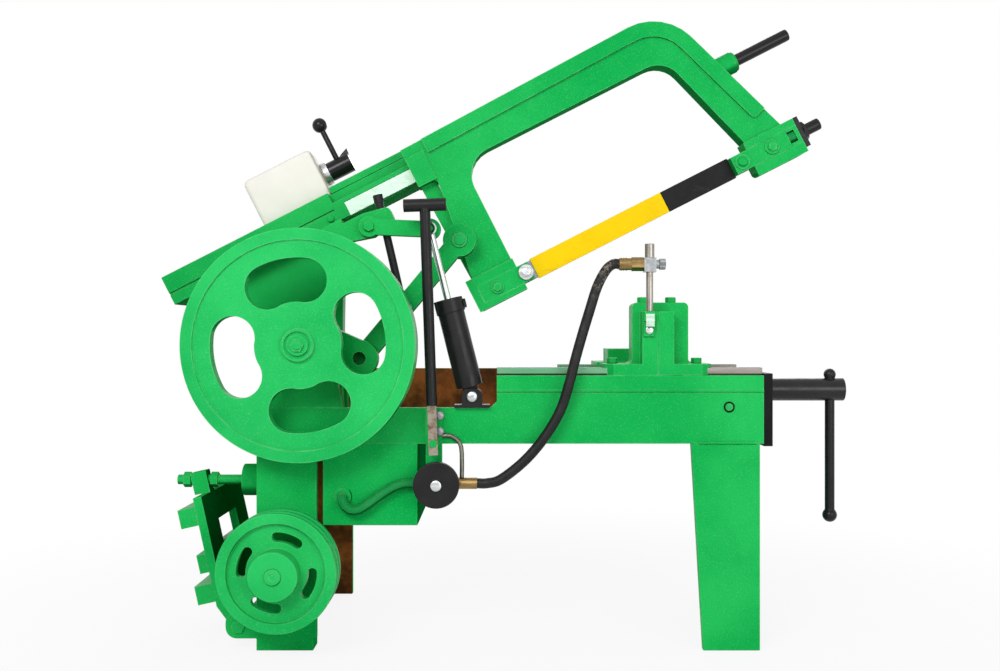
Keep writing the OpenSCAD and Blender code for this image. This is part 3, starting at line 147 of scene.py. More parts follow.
class Shader:
    """A material's node tree with short calls for the nodes that this machine uses."""

    def __init__(self, name):
        self.material = bpy.data.materials.new(name)
        self.material.use_nodes = True
        self.nodes = self.material.node_tree.nodes
        self.links = self.material.node_tree.links
        self.nodes.clear()
        self.out = self.nodes.new("ShaderNodeOutputMaterial")
        self.bsdf = self.nodes.new("ShaderNodeBsdfPrincipled")
        self.links.new(self.bsdf.outputs[0], self.out.inputs["Surface"])
        self.place = self.nodes.new("ShaderNodeTexCoord").outputs["Object"]

    def link(self, source, target):
        self.links.new(source, target)

    def put(self, socket, value):
        """Sets an input from another node's output or from a plain value."""
        if isinstance(value, bpy.types.NodeSocket):
            self.links.new(value, socket)
        else:
            socket.default_value = value

    def set(self, **values):
        """Sets inputs of the surface; a low line stands for a space in a name."""
        for name, value in values.items():
            self.put(self.bsdf.inputs[name.replace("_", " ")], value)

    def noise(self, scale, detail, rough, stretch=None, distort=0.0):
        """Cloudy noise; stretch draws it out along an axis where its number is small."""
        node = self.nodes.new("ShaderNodeTexNoise")
        node.inputs["Scale"].default_value = scale
        node.inputs["Detail"].default_value = detail
        node.inputs["Roughness"].default_value = rough
        node.inputs["Distortion"].default_value = distort
        vector = self.place
        if stretch:
            mapping = self.nodes.new("ShaderNodeMapping")
            mapping.inputs["Scale"].default_value = stretch
            self.link(self.place, mapping.inputs["Vector"])
            vector = mapping.outputs[0]
        self.link(vector, node.inputs["Vector"])
        return node.outputs["Fac"]

    def ramp(self, value, low, high, start=0.0, end=1.0):
        """A smooth step from start to end while value goes from low to high."""
        node = self.nodes.new("ShaderNodeMapRange")
        node.interpolation_type = "SMOOTHSTEP"
        for key, number in (("From Min", low), ("From Max", high), ("To Min", start), ("To Max", end)):
            node.inputs[key].default_value = number
        self.link(value, node.inputs["Value"])
        return node.outputs[0]

    def maths(self, kind, a, b):
        node = self.nodes.new("ShaderNodeMath")
        node.operation = kind
        node.use_clamp = True
        self.put(node.inputs[0], a)
        self.put(node.inputs[1], b)
        return node.outputs[0]

    def mix(self, share, a, b):
        """Tone a where share is nothing and tone b where it is one."""
        node = self.nodes.new("ShaderNodeMix")
        node.data_type = "RGBA"
        self.put(node.inputs[0], share)
        self.put(node.inputs[6], (*a, 1) if isinstance(a, (tuple, list, Vector)) else a)
        self.put(node.inputs[7], (*b, 1) if isinstance(b, (tuple, list, Vector)) else b)
        return node.outputs[2]

    def split(self, vector):
        node = self.nodes.new("ShaderNodeSeparateXYZ")
        self.link(vector, node.inputs[0])
        return node.outputs

    def normal(self):
        return self.nodes.new("ShaderNodeNewGeometry").outputs["Normal"]

    def edges(self, radius, low, high):
        """One on sharp edges and nothing on flat faces."""
        bevel = self.nodes.new("ShaderNodeBevel")
        bevel.samples = 4
        bevel.inputs["Radius"].default_value = radius
        dot = self.nodes.new("ShaderNodeVectorMath")
        dot.operation = "DOT_PRODUCT"
        self.link(bevel.outputs[0], dot.inputs[0])
        self.link(self.normal(), dot.inputs[1])
        return self.ramp(dot.outputs["Value"], high, low)

    def bump(self, height, strength, depth, under=None):
        """A bumped normal, on top of another one where that is given."""
        node = self.nodes.new("ShaderNodeBump")
        node.inputs["Strength"].default_value = strength
        node.inputs["Distance"].default_value = depth
        self.link(height, node.inputs["Height"])
        if under is not None:
            self.link(under, node.inputs["Normal"])
        return node.outputs[0]


def tint(rgb, gain, lift=0.0):
    """A colour made darker or paler by a factor and a lift."""
    return tuple(min(1.0, c * gain + lift) for c in rgb)


# Tones of wear and dirt, and of the painted shadow along the ways' seam, in linear light
CHIPPED_PAINT = (0.035, 0.05, 0.035)
FLOOR_DUST = (0.14, 0.2, 0.13)
DARK_RUST = (0.1, 0.036, 0.014)
FADED_BLACK = (0.014, 0.014, 0.015)
RUBBED_BLACK = (0.075, 0.075, 0.078)
OLD_OIL_AND_SEAM_SHADOW = (0.028, 0.018, 0.012)
OVERSPRAY = (0.1, 0.42, 0.2)

# Places where a finish changes, in metres
OVERSPRAY_ENDS_X = 0.2
WAY_SEAM_SHADOW_TOP_Z = 0.4385
LEVER_PAINT_ENDS_Z = 0.3895
HOSE_FRAYED_FROM_Z = 0.545
PRIMER_FROM_Y = 0.2


def enamel(name, rgb, peel=0.18, primer_from=None, gloss=0.045, side=None):
    """Sprayed enamel: orange-peel skin, cloudy tone, specks, dust and rubbed edges.

    primer_from is the depth where bare primer starts; side is painted shade that darkens the faces turned to
    the right by that factor.
    """
    s = Shader(name)
    # Cloudy tone with dark specks, and pale specks that are a painted sparkle of highlights on the orange
    # peel
    tone = s.mix(s.ramp(s.noise(4.5, 4, 0.6), 0.32, 0.7), tint(rgb, 0.88), tint(rgb, 1.12, 0.012))
    tone = s.mix(s.ramp(s.noise(300, 2, 0.7), 0.6, 0.74, 0, 0.4), tone, tint(rgb, 0.6))
    # Painted highlights: pale sparkle specks
    tone = s.mix(s.ramp(s.noise(520, 1, 0.6), 0.6, 0.72, 0, 0.3), tone, tint(rgb, 1, 0.14))
    # Edges rubbed pale and chipped
    rubbed = s.ramp(s.noise(38, 5, 0.65), 0.4, 0.62, 0.2, 0.85)
    tone = s.mix(s.maths("MULTIPLY", s.edges(0.003, 0.78, 0.98), rubbed), tone, tint(rgb, 1.1, 0.17))
    chips = s.ramp(s.noise(70, 4, 0.7), 0.63, 0.69)
    tone = s.mix(s.maths("MULTIPLY", s.edges(0.002, 0.7, 0.9), chips), tone, CHIPPED_PAINT)
    # Dust on top and shade below and at the side
    facing_x, facing_y, facing_z = s.split(s.normal())
    dust = s.ramp(s.noise(16, 5, 0.7), 0.42, 0.7, 0, 0.22)
    tone = s.mix(s.maths("MULTIPLY", s.ramp(facing_z, 0.7, 0.98), dust), tone, FLOOR_DUST)
    under = s.ramp(facing_z, -0.25, -0.6)
    tone = s.mix(s.maths("MULTIPLY", under, 0.75), tone, tint(rgb, 0.3))
    # Painted shade on the faces turned to the right, where side is given
    if side is not None:
        tone = s.mix(s.ramp(facing_x, 0.4, 0.8), tone, tint(rgb, side))
    rough = s.ramp(s.noise(24, 4, 0.6), 0.3, 0.75, 0.28, 0.44)
    rough = s.maths("ADD", rough, s.maths("MULTIPLY", under, 0.4))
    # Rusty primer on the inner faces
    if primer_from is not None:
        behind = s.ramp(s.split(s.place)[1], primer_from, primer_from + 0.004)
        inside = s.maths("MULTIPLY", behind, s.ramp(facing_y, -0.5, -0.9))
        red = s.mix(s.ramp(s.noise(14, 6, 0.7), 0.35, 0.68), tuple(colours().primer), DARK_RUST)
        tone = s.mix(inside, tone, red)
        rough = s.maths("ADD", rough, s.maths("MULTIPLY", inside, 0.4))
    # Orange peel over slow waves
    skin = s.bump(s.noise(260, 2, 0.5), peel, 0.0013)
    skin = s.bump(s.noise(30, 3, 0.5), 0.1, 0.003, skin)
    s.set(Base_Color=tone, Roughness=rough, Normal=skin)
    s.set(Specular_IOR_Level=s.ramp(facing_z, -0.6, -0.25, gloss / 4, gloss))
    return s.material


def black_paint(name, rgb, rough=(0.26, 0.46), gloss=0.22):
    """Black machine paint, thin over the edges with grey rubs and finger marks."""
    s = Shader(name)
    tone = s.mix(s.ramp(s.noise(22, 5, 0.65), 0.4, 0.72), rgb, FADED_BLACK)
    rubbed = s.ramp(s.noise(60, 4, 0.7), 0.45, 0.66, 0.05, 0.7)
    tone = s.mix(s.maths("MULTIPLY", s.edges(0.0025, 0.75, 0.96), rubbed), tone, RUBBED_BLACK)
    s.set(Base_Color=tone, Roughness=s.ramp(s.noise(45, 4, 0.6), 0.3, 0.75, *rough), Specular_IOR_Level=gloss,
          Normal=s.bump(s.noise(320, 2, 0.5), 0.12, 0.0006))
    return s.material


def bare_metal(name, rgb, rough, grain=(1, 1, 1), stain=None, metallic=1.0):
    """Bare metal with a ground or turned grain and dark stains."""
    s = Shader(name)
    streak = s.noise(160, 3, 0.6, stretch=grain)
    tone = s.mix(s.ramp(streak, 0.3, 0.72), tint(rgb, 0.72), tint(rgb, 1.15))
    if stain:
        tone = s.mix(s.ramp(s.noise(26, 6, 0.7, distort=0.4), 0.54, 0.7, 0, 0.8), tone, stain)
    s.set(Base_Color=tone, Roughness=s.ramp(streak, 0.25, 0.8, rough * 0.75, min(1.0, rough * 1.35)),
          Normal=s.bump(streak, 0.12, 0.0004), Metallic=metallic)
    return s.material


def way_steel(name):
    """Ways of the vise: oily dark tops, a painted shadow line along the seam at their foot, ground fronts,
    and green overspray left of the jaws.
    """
    s = Shader(name)
    along_x, _, height = s.split(s.place)
    streak = s.noise(140, 3, 0.6, stretch=(0.08, 1, 1))
    tone = s.mix(s.ramp(streak, 0.3, 0.72), (0.2, 0.165, 0.15), (0.34, 0.3, 0.28))
    tone = s.mix(s.ramp(along_x, OVERSPRAY_ENDS_X, OVERSPRAY_ENDS_X - 0.03, 0, 0.75), tone, OVERSPRAY)
    on_top = s.ramp(s.split(s.normal())[2], 0.4, 0.8, 0, 0.92)
    # A painted shadow line along the seam at the foot of the ways, in the same dark tone as the oil on top
    seam_shadow = s.ramp(height, WAY_SEAM_SHADOW_TOP_Z, WAY_SEAM_SHADOW_TOP_Z - 0.0015)
    tone = s.mix(s.maths("MAXIMUM", on_top, seam_shadow), tone, OLD_OIL_AND_SEAM_SHADOW)
    s.set(Base_Color=tone, Roughness=s.ramp(streak, 0.25, 0.8, 0.3, 0.55), Metallic=0.55,
          Normal=s.bump(streak, 0.12, 0.0004))
    return s.material


def lever_paint(name):
    """Black lever rod that ends in a bare, rusty flat bar."""
    s = Shader(name)
    bare = s.ramp(s.split(s.place)[2], LEVER_PAINT_ENDS_Z, LEVER_PAINT_ENDS_Z - 0.001)
    rust = s.mix(s.ramp(s.noise(60, 5, 0.7), 0.42, 0.66), (0.33, 0.29, 0.23), (0.14, 0.08, 0.045))
    s.set(Base_Color=s.mix(bare, tuple(colours().machine_black), rust), Specular_IOR_Level=0.22,
          Roughness=s.ramp(s.noise(45, 4, 0.6), 0.3, 0.75, 0.3, 0.5), Metallic=s.maths("MULTIPLY", bare, 0.8),
          Normal=s.bump(s.noise(320, 2, 0.5), 0.12, 0.0006))
    return s.material


def chrome_rod(name):
    """Polished rod with long smears."""
    s = Shader(name)
    smear = s.noise(90, 3, 0.6, stretch=(1, 1, 0.15))
    s.set(Base_Color=s.mix(s.ramp(smear, 0.4, 0.8), (0.72, 0.74, 0.75), (0.5, 0.51, 0.52)),
          Roughness=s.ramp(smear, 0.3, 0.8, 0.08, 0.22), Metallic=1.0)
    return s.material


def sleeve_plastic(name, rgb, dirt):
    """Slit plastic hose pushed over the blade: matt, scuffed and a little dirty."""
    s = Shader(name)
    tone = s.mix(s.ramp(s.noise(9, 3, 0.5), 0.3, 0.75), tint(rgb, 0.92), tint(rgb, 1.06))
    tone = s.mix(s.ramp(s.noise(60, 5, 0.7, stretch=(0.25, 1, 1)), 0.58, 0.74, 0, 0.3), tone, dirt)
    s.set(Base_Color=tone, Roughness=s.ramp(s.noise(80, 3, 0.6), 0.3, 0.8, 0.42, 0.62),
          Normal=s.bump(s.noise(150, 3, 0.6), 0.12, 0.0008), Specular_IOR_Level=0.1)
    return s.material


def cream_cover(name, rgb, grime, end_shade):
    """Moulded cream cover with fine grain, yellowed patches, grimy edges and painted shade on the end that
    faces along the beam.
    """
    s = Shader(name)
    tone = s.mix(s.ramp(s.noise(7, 4, 0.6), 0.35, 0.75), rgb, tint(rgb, 0.9))
    dirty = s.ramp(s.noise(40, 5, 0.7), 0.45, 0.7, 0.03, 0.5)
    tone = s.mix(s.maths("MULTIPLY", s.edges(0.006, 0.75, 0.97), dirty), tone, grime)
    # Painted shade on the end of the box that faces along the beam
    end = s.nodes.new("ShaderNodeVectorMath")
    end.operation = "DOT_PRODUCT"
    s.link(s.normal(), end.inputs[0])
    end.inputs[1].default_value = BEAM
    tone = s.mix(s.ramp(end.outputs["Value"], 0.5, 0.85, 0, 0.8), tone, end_shade)
    s.set(Base_Color=tone, Roughness=s.ramp(s.noise(30, 3, 0.6), 0.3, 0.8, 0.4, 0.58),
          Normal=s.bump(s.noise(420, 2, 0.5), 0.14, 0.0005))
    return s.material


def hose_rubber(name, rgb, faded, frayed):
    """Cloth-wrapped rubber hose, grey and frayed towards its upper end."""
    s = Shader(name)
    weave = s.nodes.new("ShaderNodeTexVoronoi")
    weave.inputs["Scale"].default_value = 420
    s.link(s.place, weave.inputs["Vector"])
    tone = s.mix(s.ramp(s.noise(30, 4, 0.6), 0.35, 0.75), rgb, faded)
    high = s.ramp(s.split(s.place)[2], HOSE_FRAYED_FROM_Z, HOSE_FRAYED_FROM_Z + 0.055)
    threads = s.ramp(s.noise(130, 5, 0.75), 0.5, 0.62)
    tone = s.mix(s.maths("MULTIPLY", high, threads), tone, frayed)
    s.set(Base_Color=tone, Roughness=s.ramp(s.noise(70, 3, 0.6), 0.3, 0.8, 0.4, 0.66),
          Normal=s.bump(weave.outputs["Distance"], 0.25, 0.0008), Specular_IOR_Level=0.25)
    return s.material


def pump_iron(name):
    """Rough cast iron, brown with oil and rust."""
    s = Shader(name)
    tone = s.mix(s.ramp(s.noise(35, 6, 0.7), 0.35, 0.68), (0.12, 0.065, 0.035), (0.035, 0.027, 0.022))
    s.set(Base_Color=tone, Roughness=s.ramp(s.noise(60, 4, 0.6), 0.3, 0.8, 0.55, 0.8),
          Normal=s.bump(s.noise(200, 4, 0.6), 0.35, 0.001))
    return s.material


def finishes():
    """Every finish of the machine: its maker and what the maker is given."""
    c = colours()
    green = tuple(c.machine_green)
    black = tuple(c.machine_black)
    return {
        "machine_green": (enamel, dict(rgb=green)),
        # A paler copy of the green, as painted light
        "wheel_green": (enamel, dict(rgb=tuple(c.wheel_green), peel=0.16)),
        # A darker copy of the green, as painted shade
        "shade_green": (enamel, dict(rgb=tuple(c.shade_green))),
        # The motor plate and the tank carry painted shade on their faces turned to the right
        "plate_green": (enamel, dict(rgb=green, gloss=0.0, side=0.24)),
        "tank_green": (enamel, dict(rgb=green, gloss=0.0, side=0.4)),
        "bed_green": (enamel, dict(rgb=green, primer_from=PRIMER_FROM_Y)),
        "leg_green": (enamel, dict(rgb=green, primer_from=PRIMER_FROM_Y, gloss=0.0)),
        "machine_black": (black_paint, dict(rgb=black)),
        "plate_black": (black_paint, dict(rgb=black, gloss=0.04)),
        "screw_black": (black_paint, dict(rgb=black, rough=(0.2, 0.34), gloss=0.32)),
        "knob_black": (black_paint, dict(rgb=black, rough=(0.14, 0.26))),
        "lever_paint": (lever_paint, {}),
        "sleeve_black": (sleeve_plastic, dict(rgb=FADED_BLACK, dirt=(0.05, 0.05, 0.05))),
        "sleeve_yellow": (sleeve_plastic, dict(rgb=tuple(c.sleeve_yellow), dirt=(0.3, 0.17, 0.02))),
        "bright_steel": (bare_metal, dict(rgb=tuple(c.bright_steel), rough=0.34, grain=(0.08, 1, 1),
                                          stain=(0.12, 0.08, 0.05))),
        "worn_steel": (bare_metal, dict(rgb=tuple(c.worn_steel), rough=0.42, grain=(1, 0.1, 1),
                                        stain=(0.1, 0.06, 0.035))),
        "blade_steel": (bare_metal, dict(rgb=(0.28, 0.29, 0.3), rough=0.4, grain=(0.1, 1, 1))),
        "post_steel": (bare_metal, dict(rgb=(0.34, 0.31, 0.28), rough=0.3, grain=(1, 1, 0.1),
                                        stain=(0.15, 0.12, 0.09))),
        "pipe_steel": (bare_metal, dict(rgb=(0.2, 0.19, 0.16), rough=0.45, stain=(0.06, 0.05, 0.03))),
        "strip_steel": (bare_metal, dict(rgb=(0.55, 0.74, 0.6), rough=0.45, grain=(0.08, 1, 1),
                                         stain=(0.36, 0.52, 0.4), metallic=0.45)),
        "boss_aluminium": (bare_metal, dict(rgb=(0.6, 0.61, 0.62), rough=0.38)),
        "brass": (bare_metal, dict(rgb=tuple(c.brass), rough=0.36, grain=(0.3, 1, 1),
                                   stain=(0.09, 0.055, 0.02))),
        "way_steel": (way_steel, {}),
        "chrome_rod": (chrome_rod, {}),
        "cream_cover": (cream_cover, dict(rgb=tuple(c.box_cream), grime=(0.33, 0.29, 0.22),
                                          end_shade=(0.34, 0.27, 0.22))),
        "hose_rubber": (hose_rubber, dict(rgb=tuple(c.hose_black), faded=(0.016, 0.0155, 0.0155),
                                          frayed=(0.24, 0.2, 0.15))),
        "pump_iron": (pump_iron, {}),
    }


FINISHES = {}


def finish(name):
    """The material of that name, made once."""
    if name not in FINISHES:
        maker, given = finishes()[name]
        FINISHES[name] = maker(name, **given)
    return FINISHES[name]


# Edges of solids and pieces

JOIN_WITHIN = 2e-6
FLAT_ANGLE = math.radians(0.3)
BEVEL_ANGLE = math.radians(32)
BEVEL_STEPS = 3


def soften(obj, width):
    """Rounds the edges of a piece by that much."""
    bevel = obj.modifiers.new("rounded_edges", "BEVEL")
    bevel.width = width
    bevel.segments = BEVEL_STEPS
    bevel.limit_method = "ANGLE"
    bevel.angle_limit = BEVEL_ANGLE


def dress(node, name, edge=0.0, join_faces=True):
    """Gives a solid its finish and rounds its edges by that much; join_faces first merges flat triangles."""
    obj = NODES[node]
    obj.data.materials.clear()
    obj.data.materials.append(finish(name))
    if edge:
        weld = obj.modifiers.new("join", "WELD")
        weld.merge_threshold = JOIN_WITHIN
        if join_faces:
            flat = obj.modifiers.new("flat_faces", "DECIMATE")
            flat.decimate_type = "DISSOLVE"
            flat.angle_limit = FLAT_ANGLE
        soften(obj, edge)
        normals = obj.modifiers.new("even_shading", "WEIGHTED_NORMAL")
        normals.keep_sharp = True


# Mesh forms


def aim(place, direction, turn=0.0):
    """A frame at place whose local Z points along direction, turned about it by so many radians."""
    z = direction.normalized()
    x = RIGHT if abs(z.x) < 0.9 else UP
    x = (x - z * x.dot(z)).normalized()
    spin = Matrix((x, z.cross(x), z)).transposed().to_4x4()
    spin.translation = place
    return spin @ Matrix.Rotation(turn, 4, "Z")


def rings_to_faces(bm, rings, closed=True):
    """Faces between rings of points that follow each other, and over both ends where closed."""
    count = len(rings[0])
    for low, high in zip(rings, rings[1:]):
        for i in range(count):
            j = (i + 1) % count
            bm.faces.new((low[i], low[j], high[j], high[i]))
    if closed:
        bm.faces.new(list(reversed(rings[0])))
        bm.faces.new(rings[-1])


def around(sides):
    """The angles of that many even steps round a circle."""
    return [2 * math.pi * i / sides for i in range(sides)]


def turned_point(radius, angle, height):
    """A point of a turned form, in the form's own frame."""
    return Vector((radius * math.cos(angle), radius * math.sin(angle), height))


def turned(bm, place, profile, sides=40, shape=None, closed=True):
    """A turned form: (radius, height) pairs round the frame's Z; shape changes the radius by its angle."""
    rings = []
    for radius, height in profile:
        points = []
        for angle in around(sides):
            r = shape(radius, angle) if shape else radius
            points.append(bm.verts.new(place @ turned_point(r, angle, height)))
        rings.append(points)
    rings_to_faces(bm, rings if closed else rings + rings[:1], closed)


def washer(bm, place, outer, inner, height):
    """A flat washer with broken edges."""
    soft = min(height, outer - inner) * 0.25
    profile = [
        (outer, 0), (outer, height - soft), (outer - soft, height),
        (inner + soft, height), (inner, height - soft), (inner, 0),
    ]
    turned(bm, place, profile, closed=False)


def dome(bm, place, radius, height):
    """A low round head: a short wall and a domed top."""
    wall = height * 0.45
    steps = 6
    profile = [(radius, 0), (radius, wall)]
    for k in range(1, steps):
        t = k / steps * math.pi / 2
        profile.append((radius * math.cos(t), wall + (height - wall) * math.sin(t)))
    turned(bm, place, profile, sides=32)


def hexagon(flat, angle):
    """Radius of a hexagon at an angle; flat is half its width across the flats."""
    return flat / math.cos(angle % (math.pi / 3) - math.pi / 6)


CHAMFER_ANGLE = math.radians(28)
SEAT_THICKNESS = 0.0022


def hex_head(bm, place, across, height, seat=0.0):
    """A hexagon head with its top chamfered by a cone, on a washer of radius seat where one is given."""
    lift = 0.0
    if seat:
        lift = SEAT_THICKNESS
        turned(bm, place, [(seat - 0.0004, 0), (seat, 0.0004), (seat, lift - 0.0005), (seat - 0.0006, lift)])
    flat = across / 2
    crown = flat * 0.95
    middle = flat * 0.55
    rise = 0.0002
    rings = [[], [], [], []]
    for angle in around(48):
        corner = hexagon(flat, angle)
        slope = (corner - crown) * math.tan(CHAMFER_ANGLE)
        outline = ((corner, 0), (corner, height - slope), (crown, height), (middle, height + rise))
        for points, (radius, level) in zip(rings, outline):
            points.append(bm.verts.new(place @ turned_point(radius, angle, level + lift)))
    rings_to_faces(bm, rings)


def swept(bm, line, radius, sides):
    """A round bar along the points of a line; radius is a function of the point's index."""
    last = len(line) - 1
    rings = []
    side = None
    for i, p in enumerate(line):
        along = (line[min(i + 1, last)] - line[max(i - 1, 0)]).normalized()
        if side is None:
            side = (UP if abs(along.z) < 0.9 else RIGHT).cross(along)
        side = (side - along * side.dot(along)).normalized()
        other = along.cross(side)
        r = radius(i)
        rings.append([
            bm.verts.new(p + side * r * math.cos(angle) + other * r * math.sin(angle))
            for angle in around(sides)
        ])
    rings_to_faces(bm, rings)


def rectangle(low_u, high_u, low_v, high_v):
    """The four corners of an upright rectangle."""
    return [(low_u, low_v), (high_u, low_v), (high_u, high_v), (low_u, high_v)]


def plate(bm, place, outline, front, back):
    """A plate between two depths; place turns a point of its outline and a depth into a point in space."""
    rings_to_faces(bm, [[bm.verts.new(place(u, y, v)) for u, v in outline] for y in (front, back)])


def piece(name, bm, body, material, sharp=35):
    """Turns a mesh in progress into a piece that rides on a body; edges over sharp degrees stay sharp."""
    mesh = bpy.data.meshes.new(name)
    bmesh.ops.recalc_face_normals(bm, faces=bm.faces)
    bm.to_mesh(mesh)
    bm.free()
    mesh.polygons.foreach_set("use_smooth", [True] * len(mesh.polygons))
    mesh.set_sharp_from_angle(angle=math.radians(sharp))
    mesh.materials.append(finish(material))
    obj = bpy.data.objects.new(name, mesh)
    bpy.context.scene.collection.objects.link(obj)
    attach(obj, body)
    return obj


def through(points, steps):
    """A smooth line through points, with that many steps between two of them."""
    line = []
    last = len(points) - 1
    for i in range(last):
        a, b, c, d = points[max(i - 1, 0)], points[i], points[i + 1], points[min(i + 2, last)]
        for k in range(steps):
            t = k / steps
            bend = (2 * a - 5 * b + 4 * c - d) + t * (3 * (b - c) + d - a)
            line.append(b + 0.5 * t * ((c - a) + t * bend))
    line.append(points[last])
    return line


# Stage, in metres, and the camera's sensor in millimetres

SENSOR_WIDTH = 36
FLOOR_HALF_WIDTH = 9
FLOOR_TONE = (0.9, 0.9, 0.9, 1)
# The floor's shadows fade out between these distances from its middle, from that share of white to white
FADE_FROM = 0.5
FADE_TO = 1.5
FADE_START = 0.88
WHITE = (1, 1, 1, 1)


class HACKSAW_OT_stage(bpy.types.Operator):
    """Make the camera, the pale floor and the soft studio light"""

    bl_idname = "hacksaw.stage"
    bl_label = "Stage"

    def white_for_rays(self, tree):
        """One for the rays of the camera, of mirrors and of glass, and nothing for all others."""
        path = tree.nodes.new("ShaderNodeLightPath")
        seen = path.outputs["Is Camera Ray"]
        for name in ("Is Glossy Ray", "Is Transmission Ray"):
            either = tree.nodes.new("ShaderNodeMath")
            either.operation = "MAXIMUM"
            tree.links.new(seen, either.inputs[0])
            tree.links.new(path.outputs[name], either.inputs[1])
            seen = either.outputs[0]
        return seen

    def mix(self, tree, share, first, second):
        """The first shader where share is nothing and the second where it is one."""
        node = tree.nodes.new("ShaderNodeMixShader")
        for source, socket in zip((share, first.outputs[0], second.outputs[0]), node.inputs):
            tree.links.new(source, socket)
        return node

    def camera(self, scene, stage):
        """A level camera that looks straight at the machine's front."""
        camera = bpy.data.objects.new("camera", bpy.data.cameras.new("camera"))
        camera.location = stage.camera_place
        camera.rotation_euler = (math.radians(90), 0, 0)
        camera.data.sensor_width = SENSOR_WIDTH
        camera.data.lens = stage.camera_lens
        scene.collection.objects.link(camera)
        scene.camera = camera

    def sky(self, scene, stage):
        """Even light all round that looks white."""
        scene.world = bpy.data.worlds.new("studio")
        scene.world.use_nodes = True
        tree = scene.world.node_tree
        tree.nodes.clear()
        out = tree.nodes.new("ShaderNodeOutputWorld")
        light = tree.nodes.new("ShaderNodeBackground")
        white = tree.nodes.new("ShaderNodeBackground")
        for node in (light, white):
            node.inputs["Color"].default_value = WHITE
        light.inputs["Strength"].default_value = stage.sky
        both = self.mix(tree, self.white_for_rays(tree), light, white)
        tree.links.new(both.outputs[0], out.inputs[0])

    def floor_material(self):
        """Pale floor whose soft shadows fade out into white away from its middle."""
        pale = bpy.data.materials.new("pale_floor")
        pale.use_nodes = True
        tree = pale.node_tree
        tree.nodes.clear()
        out = tree.nodes.new("ShaderNodeOutputMaterial")
        lit = tree.nodes.new("ShaderNodeBsdfDiffuse")
        lit.inputs["Color"].default_value = FLOOR_TONE
        glow = tree.nodes.new("ShaderNodeEmission")
        away = tree.nodes.new("ShaderNodeVectorMath")
        away.operation = "LENGTH"
        tree.links.new(tree.nodes.new("ShaderNodeTexCoord").outputs["Object"], away.inputs[0])
        fade = tree.nodes.new("ShaderNodeMapRange")
        fade.interpolation_type = "SMOOTHSTEP"
        for key, number in (("From Min", FADE_FROM), ("From Max", FADE_TO), ("To Min", FADE_START)):
            fade.inputs[key].default_value = number
        tree.links.new(away.outputs["Value"], fade.inputs["Value"])
        soft = self.mix(tree, fade.outputs[0], lit, glow)
        both = self.mix(tree, self.white_for_rays(tree), lit, soft)
        tree.links.new(both.outputs[0], out.inputs[0])
        return pale

    def floor(self, scene):
        """A wide floor under the machine."""
        mesh = bpy.data.meshes.new("floor")
        form = bmesh.new()
        bmesh.ops.create_grid(form, x_segments=1, y_segments=1, size=FLOOR_HALF_WIDTH)
        form.to_mesh(mesh)
        form.free()
        mesh.materials.append(self.floor_material())
        floor = bpy.data.objects.new("floor", mesh)
        scene.collection.objects.link(floor)

    def lamp(self, scene, name, place, target, size, power):
        """A soft rectangular lamp that points at a target."""
        light = bpy.data.lights.new(name, "AREA")
        light.shape = "RECTANGLE"
        light.size, light.size_y = size
        light.energy = power
        lamp = bpy.data.objects.new(name, light)
        lamp.location = place
        lamp.rotation_euler = (Vector(target) - Vector(place)).to_track_quat("-Z", "Y").to_euler()
        scene.collection.objects.link(lamp)

    def execute(self, context):
        scene = context.scene
        stage = scene.hacksaw_stage
        scene.view_settings.view_transform = "Standard"
        self.camera(scene, stage)
        self.sky(scene, stage)
        self.floor(scene)
        self.lamp(scene, "key", place=(-0.9, -2.5, 1.8), target=(0, 0, 0.5), size=(1.4, 1.0),
                  power=stage.key_power)
        self.lamp(scene, "fill", place=(1.5, -2.3, 0.8), target=(0, 0, 0.5), size=(1.6, 1.2),
                  power=stage.fill_power)
        self.lamp(scene, "back", place=(0.4, 2.4, 1.8), target=(0, 0, 0.6), size=(1.8, 1.0),
                  power=stage.fill_power)
        return {"FINISHED"}


# Hose: its route, and the share by which its radius varies

HOSE_ROUTE = [
    mm(-42, -150, 266), mm(-26, -150, 266), mm(-4, -154, 273), mm(33, -160, 303), mm(64, -162, 340),
    mm(88, -163, 381), mm(101, -163, 420), mm(111, -162, 459), mm(122, -161, 498), mm(134, -159, 537),
    mm(146, -156, 574), mm(160, -153, 600), mm(172, -150, 610), mm(181, -150, 610),
]
HOSE_UNEVEN = 0.006


class HACKSAW_OT_hose(bpy.types.Operator):
    """Run the coolant hose from the pump to the tee"""

    bl_idname = "hacksaw.hose"
    bl_label = "Coolant hose"

    def execute(self, context):
        route = through(HOSE_ROUTE, steps=8)
        radius = sizes().hose_diameter / 2
        form = bmesh.new()
        swept(form, route, lambda i: radius * (1 + HOSE_UNEVEN * math.sin(i * 2.4)), sides=28)
        hose = piece("hose_tube", form, "frame", "hose_rubber", sharp=60)
        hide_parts("coolant_hose")
        return {"FINISHED"}


# Finishes of the solids


